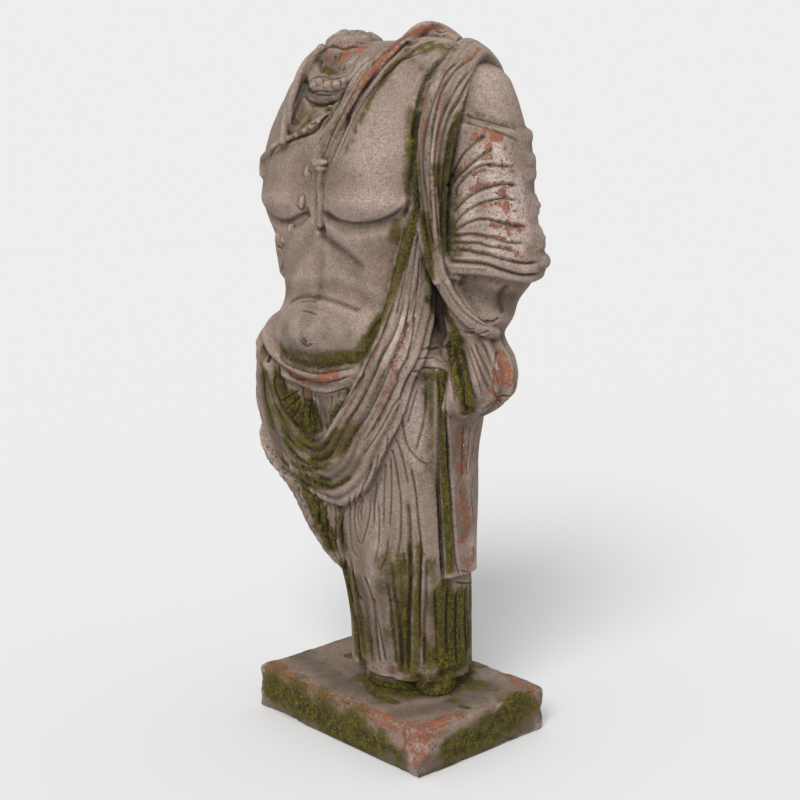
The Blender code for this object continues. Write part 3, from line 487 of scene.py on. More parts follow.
# Moss: half width in tenths of a point, strength in hundredths, places in tenths of a point
MOSS = in_points([
    (12, 80, -133, -152, 528, -142, -144, 464, -129, -144, 403),
    (11, 75, -117, -131, 345, -70, -130, 327, -14, -127, 331),
    (21, 62, -119, -147, 475, -99, -144, 423, -62, -139, 389, 3, -140, 384, 51, -139, 421),
    (15, 120, 108, -22, 65, 117, -1, 41, 117, 27, 47), (15, 120, 75, -35, 0, 98, 1, 0, 78, 65, 0),
    (15, 70, -126, -153, 521, -140, -144, 464, -123, -142, 411),
    (18, 70, 197, -103, 794, 193, -94, 754, 185, -79, 692),
    (14, 35, 147, -81, 507, 138, -72, 439, 129, -65, 363),
    (21, 50, 78, -89, 222, 72, -68, 138, 67, -59, 71), (14, 130, -28, -85, 190, -59, -52, 119, -112, -3, 0),
    (11, 120, -25, -65, 97, -23, -62, 39), (11, 100, 121, 4, 149, 118, 1, 102, 117, -1, 54),
    (9, 100, 120, 29, 159, 117, 33, 110, 116, 32, 53), (8, 100, 83, -68, 172, 77, -59, 121, 72, -56, 72),
    (9, 90, 157, -98, 673, 143, -70, 640, 134, -44, 609, 167, -54, 582, 177, -52, 560),
    (12, 100, 172, -53, 562, 185, -58, 537, 199, -64, 511, 211, -68, 485, 206, -58, 459),
    (8, 80, 158, -51, 548, 186, -69, 517, 201, -70, 484),
    (6, 80, 152, -72, 935, 148, -90, 906, 153, -108, 871),
    (9, 100, 153, -108, 871, 157, -119, 827, 159, -119, 779, 159, -115, 746),
    (8, 90, 159, -115, 746, 145, -114, 705, 131, -115, 667),
    (9, 80, 131, -115, 667, 117, -122, 628, 107, -133, 593, 95, -143, 564),
    (11, 90, 95, -143, 564, 80, -149, 539, 62, -152, 526),
    (11, 90, -82, -167, 530, -70, -167, 521, -42, -165, 513, -4, -162, 512, 36, -158, 521, 67, -153, 534),
    (9, 60, -58, -165, 529, 0, -165, 527, 50, -160, 536),
    (14, 90, -105, -149, 489, -101, -146, 458, -91, -140, 434),
    (17, 110, -82, -139, 448, -78, -137, 425, -64, -132, 412),
    (14, 110, -60, -129, 443, -55, -125, 422, -44, -124, 413),
    (8, 90, 47, -145, 477, 29, -143, 455, -5, -132, 432),
    (6, 100, -106, -146, 427, -87, -140, 401, -64, -138, 392, -30, -132, 402),
    (6, 90, -108, -144, 411, -82, -144, 385, -54, -140, 380, -9, -142, 392, 24, -143, 418),
    (8, 100, -96, -145, 385, -77, -139, 363, -47, -134, 358, -1, -139, 376),
    (6, 80, -105, -140, 364, -81, -136, 347, -48, -134, 346, 1, -135, 365),
    (8, 80, -79, -132, 326, -53, -128, 318, -15, -126, 329),
    (6, 60, -133, -145, 504, -133, -144, 465, -118, -146, 431),
    (6, 50, -189, -113, 510, -152, -142, 470, -145, -141, 432),
    (14, 90, -78, -127, 310, -72, -119, 282, -76, -100, 242),
    (14, 100, -54, -117, 294, -49, -108, 261, -43, -97, 221),
    (9, 80, -10, -115, 294, -20, -101, 253, -21, -93, 217),
    (9, 100, 84, -77, 218, 82, -69, 172, 76, -60, 121, 70, -58, 72, 69, -57, 42),
    (6, 90, 98, -70, 245, 94, -63, 189, 84, -56, 122, 79, -52, 57),
    (8, 90, 107, -58, 245, 102, -54, 197, 96, -52, 156, 89, -46, 90, 88, -45, 45),
    (8, 50, 80, -84, 221, 78, -77, 173, 69, -65, 121),
    (14, 110, 120, -18, 178, 121, -2, 143, 118, 10, 100, 118, 15, 58),
    (12, 110, 122, 14, 160, 118, 29, 119, 113, 42, 74),
    (12, 90, 114, -29, 171, 113, -24, 130, 115, -12, 80), (11, 80, 113, -41, 220, 111, -33, 187),
    (12, 100, 114, 40, 108, 115, 35, 64, 118, 9, 49), (11, 70, 112, -19, 89, 112, -18, 54),
    (8, 90, -26, -86, 198, -41, -65, 142, -36, -59, 93, -32, -57, 44),
    (6, 80, -12, -74, 148, -1, -68, 104, 7, -65, 56), (6, 50, -18, -102, 266, -28, -87, 198),
    (18, 120, 0, -56, 0, 43, -58, 0, 76, -46, 0), (18, 120, 70, -41, 0, 87, -11, 0, 85, 35, 0, 70, 82, 0),
    (9, 100, 168, -72, 510, 168, -73, 473, 164, -66, 428, 155, -54, 381),
    (9, 95, 155, -54, 381, 147, -42, 326, 141, -32, 270, 136, -20, 205),
    (6, 50, 155, -80, 509, 147, -74, 470, 141, -68, 425),
    (5, 70, 136, -50, 347, 124, -35, 267, 116, -23, 185),
    (8, 90, 203, -80, 865, 205, -94, 833, 201, -99, 800, 196, -100, 767),
    (8, 80, 196, -100, 767, 189, -95, 733, 183, -87, 692),
    (8, 70, 201, -86, 820, 198, -91, 794, 197, -95, 774),
    (6, 80, 131, -52, 972, 113, -76, 956, 102, -104, 934),
    (6, 80, 102, -104, 934, 93, -121, 909, 82, -131, 885, 71, -139, 861),
    (5, 60, 71, -139, 861, 61, -145, 836, 48, -148, 813),
    (5, 40, 48, -136, 902, 43, -151, 872, 22, -152, 841),
    (8, 60, 142, -55, 966, 163, -51, 954, 157, -61, 949),
    (9, 60, -23, -122, 935, -3, -124, 929, 11, -123, 931), (8, 60, -58, -130, 922, -45, -134, 908),
    (8, 50, -41, -136, 885, -6, -136, 881, 7, -137, 873), (12, 35, -60, -139, 866, -33, -138, 874),
    (6, 35, 210, -53, 868, 226, -37, 861, 234, -15, 853, 239, 4, 847),
    (5, 40, 202, -75, 870, 205, -59, 860), (6, 60, 184, -75, 783, 198, -74, 793),
    (6, 60, 184, -81, 701, 200, -75, 702), (6, 60, 184, -80, 678, 203, -74, 680),
    (6, 60, 189, -85, 749, 196, -75, 759), (18, 110, -118, -137, -26, -80, -137, -37, -31, -137, -40),
    (21, 110, -31, -137, -47, 28, -137, -52, 85, -137, -48), (12, 90, 85, -137, -48, 133, -137, -45),
    (15, 100, -106, -137, -39, -20, -137, -54, 62, -137, -65),
    (18, 110, 191, 77, -5, 192, 43, -19, 192, 5, -34), (18, 100, 192, 6, -37, 192, -33, -42, 192, -63, -49),
    (14, 80, 192, 88, -32, 192, 43, -49, 192, -12, -56), (11, 90, -13, -58, 0, 39, -86, 0, 83, -85, 0),
    (9, 70, 62, 99, 0, 106, 45, 0, 118, -2, 0), (8, 90, 162, -23, 0, 174, -20, 0),
    (6, 70, 70, 114, 0, 75, 125, 0), (11, 30, -20, -126, 0, 47, -123, 0, 84, -106, 0),
    (11, 100, 140, -69, 612, 132, -48, 584, 145, -44, 560),
    (12, 110, 172, -57, 550, 189, -64, 524, 202, -67, 498, 210, -65, 466),
    (9, 110, -9, -81, 177, -14, -68, 117, -5, -64, 53),
    (18, 110, 15, -64, 0, 60, -52, 0, 91, -18, 0, 100, 27, 0),
    (8, 90, 169, -110, 733, 167, -100, 692, 164, -91, 650), (11, 60, 127, -121, 722, 119, -121, 697),
    (6, 80, 146, -116, 732, 130, -118, 691, 115, -121, 644),
    (14, 80, 106, -134, 589, 99, -143, 565, 92, -148, 543),
    (6, 90, -128, -145, 486, -110, -146, 445, -91, -141, 413, -65, -135, 400, -39, -125, 408, 17, -142,
     438),
    (6, 80, -140, -144, 464, -126, -140, 423, -91, -145, 392),
    (6, 80, 46, -139, 406, 16, -137, 378, -25, -133, 360),
    (6, 70, -108, -129, 333, -70, -128, 318, -16, -126, 322, 35, -130, 346),
    (14, 90, 87, -76, 221, 81, -64, 155, 75, -56, 88, 74, -53, 43),
    (23, 90, 117, -24, 155, 117, -10, 104, 117, -1, 54), (15, 90, 121, 20, 146, 115, 35, 77),
    (12, 80, 98, -36, 90, 102, -29, 49), (12, 90, -27, -81, 181, -39, -63, 126, -33, -59, 77, -20, -61, 32),
    (15, 90, -68, -118, 291, -58, -111, 260, -50, -98, 220),
    (26, 90, -118, -137, -30, -56, -137, -38, 16, -137, -41, 89, -137, -47),
    (26, 90, 192, 88, -21, 192, 32, -32, 192, -33, -39, 192, -75, -45),
    (12, 45, -60, -139, 866, -33, -138, 874, -50, -148, 848),
    (9, 40, 62, -145, 834, 68, -140, 858, 81, -132, 882),
    (11, 50, 145, -112, 873, 152, -122, 820, 150, -121, 767),
    (14, 50, 205, -87, 846, 202, -93, 807, 180, -75, 766),
    (12, 45, 189, -79, 753, 187, -78, 712, 189, -76, 678),
    (11, 55, 130, -71, 955, 145, -58, 962, 157, -50, 957),
    (9, 50, 156, -80, 512, 145, -70, 440, 129, -52, 346), (15, 35, 64, -97, 220, 55, -81, 153, 51, -69, 85),
], 100)

# Painted shade where the stone lies in shade, with dark stains, written like the moss
SHADE_AND_STAINS = in_points([
    (18, 90, -148, -143, 471, -137, -144, 410, -123, -135, 363),
    (11, 80, 167, -97, 893, 174, -115, 847, 173, -114, 767, 166, -103, 699),
    (9, 70, 187, -86, 886, 195, -105, 820, 192, -100, 754),
    (21, 60, -133, -145, 504, -121, -145, 443, -91, -145, 385, -52, -134, 356),
    (39, 40, 86, -77, 221, 79, -60, 138, 73, -54, 64),
    (30, 35, -11, -130, 334, -14, -98, 251, 12, -91, 208),
    (30, 30, 58, -130, 384, 77, -99, 315, 82, -83, 252),
    (36, 40, -39, -160, 604, 16, -178, 574, 63, -162, 563),
    (24, 50, -63, -170, 559, -32, -167, 529, 29, -161, 526),
    (18, 60, 55, -69, 86, 89, -59, 156, 94, -69, 221), (15, 110, -39, -63, 126, -37, -57, 43),
    (14, 110, 8, -76, 156, 9, -68, 106, 14, -65, 50), (21, 110, 38, -64, 0, 82, -52, 0, 96, -2, 0),
    (11, 70, 83, -114, 363, 56, -105, 312), (21, 80, 198, -65, 633, 223, -44, 619, 233, 0, 611),
    (15, 60, 226, -37, 616, 224, 16, 595), (12, 40, 138, -116, 873, 151, -123, 820, 146, -125, 767),
    (9, 50, 5, -148, 729, 45, -145, 717, 91, -138, 719, 130, -127, 732),
    (9, 50, 14, -139, 889, 11, -151, 848, -3, -157, 813),
    (9, 50, -24, -145, 799, -17, -146, 763, -8, -150, 728), (14, 50, -44, -117, 945, 8, -116, 942),
    (12, 60, -60, -133, 902, -2, -140, 894, 41, -138, 902),
    (18, 80, -151, -138, 501, -141, -140, 440, -101, -145, 384, -62, -136, 350),
    (18, 90, -45, -139, 379, 15, -141, 394, 57, -139, 429), (12, 60, 57, -139, 429, 85, -138, 477),
    (18, 90, 185, -50, 551, 202, -63, 511, 213, -66, 471),
    (18, 80, -79, -132, 326, -11, -130, 334, 49, -130, 372), (12, 35, 111, -135, 516, 84, -137, 469),
    (15, 90, 141, -66, 626, 130, -44, 580, 140, -47, 553),
    (18, 70, 172, -40, 425, 154, -17, 345, 145, 0, 264),
    (15, 45, 145, -74, 470, 135, -63, 394, 124, -48, 315),
    (24, 50, 64, -97, 220, 57, -81, 153, 53, -67, 69), (18, 100, -28, -76, 164, -31, -58, 61),
    (15, 90, 2, -82, 172, -5, -64, 53), (18, 100, 16, -75, 0, 65, -58, 0, 97, -24, 0, 106, 21, 0),
    (21, 80, -88, -142, 455, -74, -135, 433, -27, -125, 431), (27, 70, 107, -35, 155, 112, -18, 73),
    (30, 70, -170, -64, 0, -41, -88, 0, 67, -90, 0), (30, 70, 134, 70, 0, 143, -38, 0, 116, -105, 0),
    (24, 100, -157, -137, -38, -56, -137, -49, 39, -137, -60, 150, -137, -63),
    (24, 100, 192, 123, -47, 192, 32, -53, 192, -54, -59, 192, -126, -60),
    (12, 50, 206, -32, 551, 226, -46, 505, 231, -41, 477),
    (11, 50, 167, -65, 940, 164, -90, 907, 166, -108, 873),
    (15, 50, 203, -95, 846, 195, -90, 780, 187, -78, 699),
    (11, 40, -111, -146, 805, -115, -154, 762, -118, -144, 724), (15, 50, -59, -114, 284, -57, -102, 227),
    (15, 50, -85, -40, 0, 18, -56, 8, 74, -24, 9, 118, 20, 33),
], 100)

# Worn orange places, written like the moss
WEAR = in_points([
    (8, 110, 96, -9, 991, 94, -39, 987, 94, -69, 976, 88, -89, 964),
    (8, 100, 88, -89, 964, 85, -114, 946, 79, -131, 925, 70, -141, 907),
    (6, 80, 67, -144, 899, 55, -149, 877, 45, -149, 861), (6, 70, 22, -152, 850, 10, -153, 827),
    (9, 80, -46, -108, 959, -13, -109, 966, 8, -97, 971, 25, -86, 968),
    (6, 70, -28, -116, 944, -8, -114, 946), (6, 70, -19, -135, 918, 8, -137, 911, 31, -136, 913),
    (5, 80, -71, -149, 840, -45, -147, 850, -20, -145, 858),
    (5, 60, -131, -111, 893, -119, -131, 856, -135, -133, 835), (5, 50, -95, -114, 921, -100, -94, 942),
    (12, 150, -80, -157, 502, -66, -155, 493, -50, -153, 488, -34, -153, 487),
    (12, 150, -19, -153, 489, 5, -154, 494, 33, -157, 502),
    (8, 160, -58, -141, 472, -60, -135, 461, -59, -131, 451),
    (12, 120, 1, -114, 946, 11, -104, 957, 31, -99, 959),
    (11, 110, 85, -123, 934, 78, -134, 915, 70, -141, 899),
    (8, 110, 95, -88, 961, 93, -106, 947, 88, -120, 931),
    (8, 90, 134, -100, 588, 133, -109, 572, 132, -118, 552),
    (9, 90, 133, -113, 561, 130, -124, 542, 122, -130, 519),
    (8, 90, 128, -124, 513, 117, -125, 495, 110, -126, 480),
    (6, 80, 106, -127, 468, 100, -127, 453, 90, -127, 433),
    (6, 60, 101, -144, 558, 91, -149, 529, 74, -147, 498),
    (6, 60, 84, -148, 507, 64, -146, 475, 43, -146, 447),
    (6, 50, 39, -142, 420, 8, -141, 385, -35, -133, 359),
    (6, 60, -76, -135, 340, -44, -131, 337, -3, -132, 352),
    (6, 50, 23, -129, 343, 57, -130, 373, 81, -128, 409),
    (6, 50, -142, -143, 448, -137, -144, 410, -128, -139, 379), (5, 60, -173, -130, 466, -152, -143, 423),
    (8, 50, -131, -139, 379, -115, -133, 348, -100, -127, 328),
    (8, 130, 218, -60, 841, 229, -48, 843, 238, -36, 837),
    (6, 120, 232, -49, 833, 232, -55, 820, 230, -57, 807),
    (6, 120, 216, -69, 767, 230, -60, 772, 243, -47, 775),
    (6, 110, 228, -61, 746, 242, -49, 748, 251, -31, 748),
    (8, 120, 242, -52, 722, 251, -34, 719, 255, -7, 715),
    (6, 110, 225, -65, 705, 240, -54, 703, 251, -38, 700),
    (6, 100, 247, -42, 692, 255, -26, 686, 259, -14, 677),
    (6, 120, 223, -58, 833, 230, -49, 837, 237, -39, 835),
    (8, 120, 234, -52, 823, 235, -52, 812, 236, -51, 803),
    (6, 110, 244, -44, 798, 249, -29, 798, 249, -20, 791), (6, 100, 247, -39, 775, 251, -24, 773),
    (8, 110, 246, -37, 764, 250, -34, 754, 250, -30, 737),
    (6, 130, 247, -45, 724, 253, -28, 720, 255, -10, 717), (6, 100, 252, -33, 711, 256, -27, 702),
    (6, 110, 255, -21, 669, 257, -9, 669, 256, 8, 664), (6, 80, 233, -58, 686, 230, -62, 682),
    (6, 70, 251, -40, 678, 247, -41, 669), (5, 80, 195, -75, 688, 210, -72, 689),
    (5, 80, 189, -78, 758, 207, -73, 767, 220, -69, 780), (6, 70, 197, -74, 791, 212, -71, 804),
    (6, 90, 182, -19, 955, 186, -40, 943, 185, -54, 932),
    (5, 90, 174, -73, 924, 175, -85, 905, 175, -92, 893),
    (5, 70, 172, -106, 873, 175, -116, 840, 176, -117, 807), (5, 70, 183, -83, 897, 185, -96, 876),
    (5, 70, 177, -105, 729, 173, -98, 699, 173, -90, 668), (5, 60, 192, -101, 853, 195, -105, 833),
    (5, 60, 183, -112, 794, 183, -108, 760), (14, 140, 224, -13, 534, 232, -14, 519, 238, -11, 503),
    (8, 120, 234, -34, 516, 237, -33, 502), (8, 100, 234, -40, 489, 230, -21, 477),
    (8, 80, 212, -17, 550, 218, -14, 541), (6, 90, 166, -47, 404, 158, -29, 375, 155, -23, 349),
    (9, 140, 153, -17, 333, 150, -8, 310, 147, -1, 288), (9, 140, 146, 5, 279, 143, 4, 256, 143, -6, 250),
    (9, 130, 138, 23, 228, 136, 27, 211), (8, 120, 172, -42, 426, 162, -25, 393, 156, -16, 360),
    (8, 110, 136, 21, 196, 139, 9, 215), (6, 90, 149, -24, 308, 146, -15, 275),
    (6, 100, 59, -58, 40, 52, -64, 38), (5, 90, 95, -61, 189, 93, -54, 156, 89, -51, 122),
    (6, 100, 106, -40, 171, 105, -33, 135, 104, -28, 89), (6, 100, 103, -29, 89, 101, -30, 65),
    (5, 100, -74, -156, 499, -56, -154, 491, -31, -153, 488, 2, -154, 492, 31, -156, 500),
    (5, 80, 157, -83, 914, 163, -101, 886, 171, -114, 853),
    (4, 80, 187, -96, 873, 191, -107, 833, 191, -108, 794),
    (5, 80, 111, -142, 552, 95, -145, 518, 72, -146, 486),
    (5, 80, 124, -132, 538, 109, -133, 508, 91, -136, 476),
    (5, 70, 136, -116, 545, 129, -123, 513, 112, -124, 477),
    (4, 70, 52, -143, 448, 21, -144, 417, -22, -139, 395),
    (5, 80, 67, -138, 438, 34, -139, 399, -11, -139, 374),
    (5, 70, -105, -140, 364, -75, -135, 346, -37, -131, 346),
    (5, 60, -149, -140, 494, -142, -143, 448, -128, -143, 411),
    (6, 90, 206, -72, 783, 226, -63, 791, 236, -55, 794), (5, 80, 194, -75, 745, 216, -69, 759),
    (5, 80, 187, -78, 693, 206, -73, 691, 224, -66, 690), (6, 80, 245, -30, 827, 245, -28, 813),
    (8, 80, 98, -47, 149, 95, -42, 90), (5, 70, 72, -68, 138, 65, -60, 87),
    (14, 100, -183, -112, 0, -114, -129, 0), (12, 100, -80, -136, -5, -8, -136, -4, 48, -132, -1),
    (11, 90, 167, -137, -15, 182, -137, -52), (9, 80, 192, 99, -8, 192, 116, -40),
    (5, 80, 104, -67, 261, 102, -61, 221), (5, 50, 65, -98, 282, 67, -95, 244),
    (12, 100, -173, -128, 0, -136, -137, -6, -100, -137, -9),
    (14, 140, 55, -134, -1, 101, -135, -3, 139, -136, -3),
    (15, 140, 139, -136, -3, 174, -129, 0, 183, -87, 0), (11, 120, 173, -77, 0, 179, -38, 0),
    (12, 100, 113, 127, 0, 163, 107, 0, 192, 108, -9), (9, 120, 159, -137, -13, 163, -137, -43),
    (9, 120, 189, -134, -4, 192, -128, -44), (9, 80, 192, 111, -19, 192, 119, -46),
], 100)

# Pale skin, written like the moss
PALE = in_points([
    (27, 110, 238, -49, 820, 246, -36, 767, 253, -32, 700), (18, 80, 255, -11, 753, 258, -3, 706),
    (21, 100, 243, -39, 807, 250, -30, 774, 253, -25, 733, 255, -20, 693),
    (12, 80, 224, -62, 800, 216, -69, 767, 214, -70, 733),
    (14, 70, 130, -110, 586, 130, -122, 552, 122, -129, 516),
    (17, 90, 231, -56, 807, 242, -42, 787, 247, -33, 760),
    (18, 90, 247, -33, 760, 248, -43, 727, 246, -44, 693),
    (14, 80, 253, -13, 780, 254, -6, 746, 256, -6, 712), (9, 100, 255, -9, 660, 255, 12, 659),
    (11, 70, 134, -99, 588, 134, -110, 565, 133, -121, 542), (11, 60, 130, -125, 524, 117, -125, 494),
    (9, 70, -45, -128, 451, -47, -122, 432), (12, 80, 167, -28, 408, 154, -12, 344, 146, 1, 280),
    (11, 70, 140, 21, 244, 133, 31, 194), (33, 25, 98, -135, 861, 103, -145, 800, 107, -149, 759),
    (27, 20, 211, -27, 914, 225, -21, 880), (21, 40, 135, -99, 472, 134, -87, 426, 129, -78, 380),
    (15, 30, 73, -115, 347, 65, -98, 282, 34, -86, 180), (15, 30, 81, -82, 221, 62, -71, 120),
    (11, 90, -175, -136, -6, -184, -137, -46), (8, 100, 192, 119, -51, 191, 117, -67),
    (9, 60, 161, -137, -20, 176, -137, -46), (6, 70, 168, -80, 920, 170, -96, 893, 173, -111, 860),
    (8, 50, 183, -112, 833, 179, -112, 767),
], 100)

# Cord over the right shoulder and the pendant under the clasp: middle line of each
RIGHT_CORD = [
    (-3.54, -11.49, 96.67), (-5.38, -12.23, 94.77), (-6.06, -13.57, 92.5), (-6.62, -14.26, 90.24),
    (-7.53, -14.5, 87.71), (-8.07, -14.85, 85.14), (-8.24, -15.69, 82.85),
]
PENDANT = [
    (0.06, -14.89, 79.76), (-0.67, -14.68, 77.08), (-0.37, -14.78, 74.54), (-0.9, -14.57, 71.53),
]

# Beads and small ornaments: place in points and half sizes in points
BEADS = [
    (19.08, -6.62, 64.48, 0.76, 0.68, 0.76), (-3.23, -13.79, 91.01, 0.45, 0.45, 0.45),
    (-1.72, -13.75, 91.58, 0.50, 0.50, 0.50), (0.33, -14.05, 90.98, 0.56, 0.56, 0.56),
    (2.21, -13.99, 91.05, 0.56, 0.56, 0.54), (3.65, -13.7, 91.52, 0.48, 0.48, 0.48),
    (-7.18, -15.13, 83.7, 0.39, 0.39, 0.39), (-5.47, -14.99, 84.1, 0.42, 0.42, 0.39),
    (-3.88, -14.79, 84.65, 0.42, 0.42, 0.39), (-2.54, -14.61, 85.22, 0.42, 0.42, 0.39),
    (-0.98, -14.55, 86.01, 0.39, 0.39, 0.39), (-0.26, -14.04, 87.07, 0.36, 0.36, 0.36),
    (0.49, -13.6, 88.01, 0.36, 0.36, 0.36), (-3.58, -14.68, 78.73, 0.45, 0.45, 0.91),
    (-4.21, -15.16, 74.44, 0.51, 0.51, 0.91), (-7.72, -14.46, 70.52, 0.48, 0.48, 0.83),
    (-10.2, -14.03, 68.77, 0.42, 0.42, 0.51), (0.21, -15.18, 80.3, 1.21, 0.68, 0.45),
    (-0.27, -14.86, 79.43, 1.06, 0.68, 0.39), (-0.9, -14.57, 71.53, 0.51, 0.51, 0.60),
    (-1.55, -14.42, 70.06, 0.39, 0.39, 0.45),
]

# Places pressed in and raised: place in points, radius in points, and depth in millimetres
PRESSED = [
    (-1.0, -6.2, 2.8, 1.1, 5), (5.1, -6.3, 3.3, 1.2, 4), (9.0, -4.3, 2.9, 0.8, 6),
    (11.4, -1.5, 3.3, 1.1, 5), (0.9, -6.4, 7.3, 0.9, 2.5), (21.7, -5.2, 62.5, 2.3, 5),
    (23.2, -2.4, 61.6, 1.5, 4), (19.8, -6.6, 63.8, 1.2, 3), (-1.2, -11.6, 94.3, 1.1, 3),
    (-6.3, -13.6, 87.7, 1.1, 3), (-6.8, -14.0, 86.0, 0.9, 3),
]
RAISED = [
    (-1.2, -13.7, 91.4, 0.6, 2), (0.8, -13.9, 90.9, 0.6, 2.4), (2.6, -13.8, 90.9, 0.6, 2.2),
    (-0.2, -15.0, 79.8, 0.9, 2.5), (1.3, -10.2, 95.8, 0.9, 3), (-2.5, -11.1, 96.1, 0.8, 2.5),
]

# Moss, wear and pale skin on the hidden sides: place in points, radius in points, strength
FAR_MOSS = [
    (6.0, 9.5, 10.0, 4.0, 0.9), (-4.0, 8.6, 6.0, 3.6, 0.8), (1.0, 9.5, 20.0, 3.6, 0.6),
    (12.0, 8.0, 24.0, 3.0, 0.7), (-14.0, 4.0, 34.0, 3.4, 0.6), (-8.0, 7.0, 40.0, 3.4, 0.6),
    (6.0, 6.4, 52.0, 4.0, 0.6), (-4.0, 5.0, 66.0, 4.0, 0.4), (10.0, 5.4, 70.0, 3.0, 0.5),
    (-8.0, 4.0, 86.0, 3.6, 0.4), (22.0, 7.0, 66.0, 2.4, 0.5), (-7.0, -2.0, 7.0, 3.0, 0.8),
    (-9.0, 2.0, 12.0, 3.0, 0.7), (12.4, 5.0, 8.0, 3.0, 1.0), (11.6, 6.0, 14.0, 2.4, 0.9),
    (1.7, 7.8, 0.8, 4.0, 1.1), (-5.0, 2.0, 0.8, 4.0, 1.1), (8.5, 5.0, 0.8, 4.0, 1.1),
    (10.0, 0.5, 0.8, 3.4, 1.1), (8.6, -2.8, 1.6, 3.2, 1.2), (10.8, -1.2, 1.6, 3.0, 1.2),
    (7.0, -2.0, 0.6, 3.0, 1.0),
]
FAR_WEAR = [
    (20.0, 5.0, 78.0, 2.0, 0.7), (-6.0, 4.6, 80.0, 1.8, 0.5), (8.0, 7.4, 40.0, 1.8, 0.6),
    (-15.0, -2.0, 84.0, 2.4, 0.5), (22.0, 4.0, 52.0, 1.6, 0.7), (4.0, 9.4, 30.0, 1.6, 0.5),
]
FAR_PALE = [(24.0, 5.0, 72.0, 3.0, 0.7), (20.0, 7.0, 80.0, 3.0, 0.5)]

# Places that are broken or rough: place in points, radius in points, and how rough in millimetres
BROKEN = [
    (-2.2, -6.9, 98.0, 5.0, 2.2), (-16.5, -3.0, 84.0, 7.0, 2.4), (-14.0, -11.0, 31.0, 5.0, 1.8),
    (-9.0, -10.5, 24.0, 4.5, 2.0), (-16.0, -8.0, 28.0, 5.0, 2.0), (-17.0, -2.0, 26.0, 5.0, 2.0),
    (-12.0, -6.0, 20.0, 4.0, 2.0), (22.5, -0.6, 47.5, 3.4, 1.4), (20.0, 0.5, 45.0, 3.4, 1.5),
    (24.6, -3.0, 75.0, 3.0, 0.7), (24.6, -3.4, 81.5, 2.6, 0.8), (24.8, 1.5, 68.0, 3.0, 0.9),
    (2.0, -7.0, 2.5, 3.5, 1.2), (8.5, -4.0, 2.5, 3.5, 1.2), (10.5, 2.0, 2.5, 3.5, 1.2),
    (-18.0, -8.0, 42.0, 4.0, 1.0), (9.4, -1.8, 98.0, 2.0, 0.8), (-17.5, -12.0, 36.0, 3.0, 1.3),
]

# Small dents and pits: least and greatest half width in metres, which is also the greatest depth
PIT_SIZES = (0.0013, 0.003)

# Where pits lie: place in points, spread in points, and how many
PITS = [
    (23.5, -5.0, 80.0, 3.2, 26), (24.6, -3.6, 74.0, 3.2, 16), (24.4, -4.0, 68.6, 2.6, 18),
    (22.0, -5.4, 84.0, 2.2, 8), (12.6, -12.0, 54.0, 3.0, 16), (9.0, -13.4, 44.0, 3.2, 12),
    (23.0, -1.6, 50.0, 2.0, 8), (15.0, -1.0, 31.0, 3.0, 8), (8.4, -11.0, 93.0, 2.6, 8),
    (-1.0, -11.0, 94.6, 2.6, 10), (6.0, -6.0, 4.0, 3.0, 6), (-6.0, -14.0, 36.0, 3.4, 10),
]

# Chips of the plinth: place and radius in metres, and depth
CHIPS = [
    (-0.178, -0.127, 0.046, 0.013, 0.0055), (-0.178, -0.127, 0.014, 0.012, 0.0045),
    (0.179, -0.1275, 0.036, 0.014, 0.0055), (0.179, 0.127, 0.03, 0.013, 0.005),
    (0.176, -0.125, 0.052, 0.016, 0.006), (0.17, -0.127, 0.03, 0.012, 0.003),
    (-0.176, -0.12, 0.034, 0.014, 0.006), (0.176, 0.05, 0.0, 0.014, 0.005),
    (0.02, -0.127, 0.066, 0.012, 0.003), (0.178, -0.06, 0.066, 0.014, 0.003),
    (-0.09, -0.128, 0.0, 0.02, 0.004), (-0.178, 0.09, 0.06, 0.02, 0.005),
    (0.1, 0.128, 0.06, 0.016, 0.004), (-0.05, 0.128, 0.0, 0.02, 0.004),
]

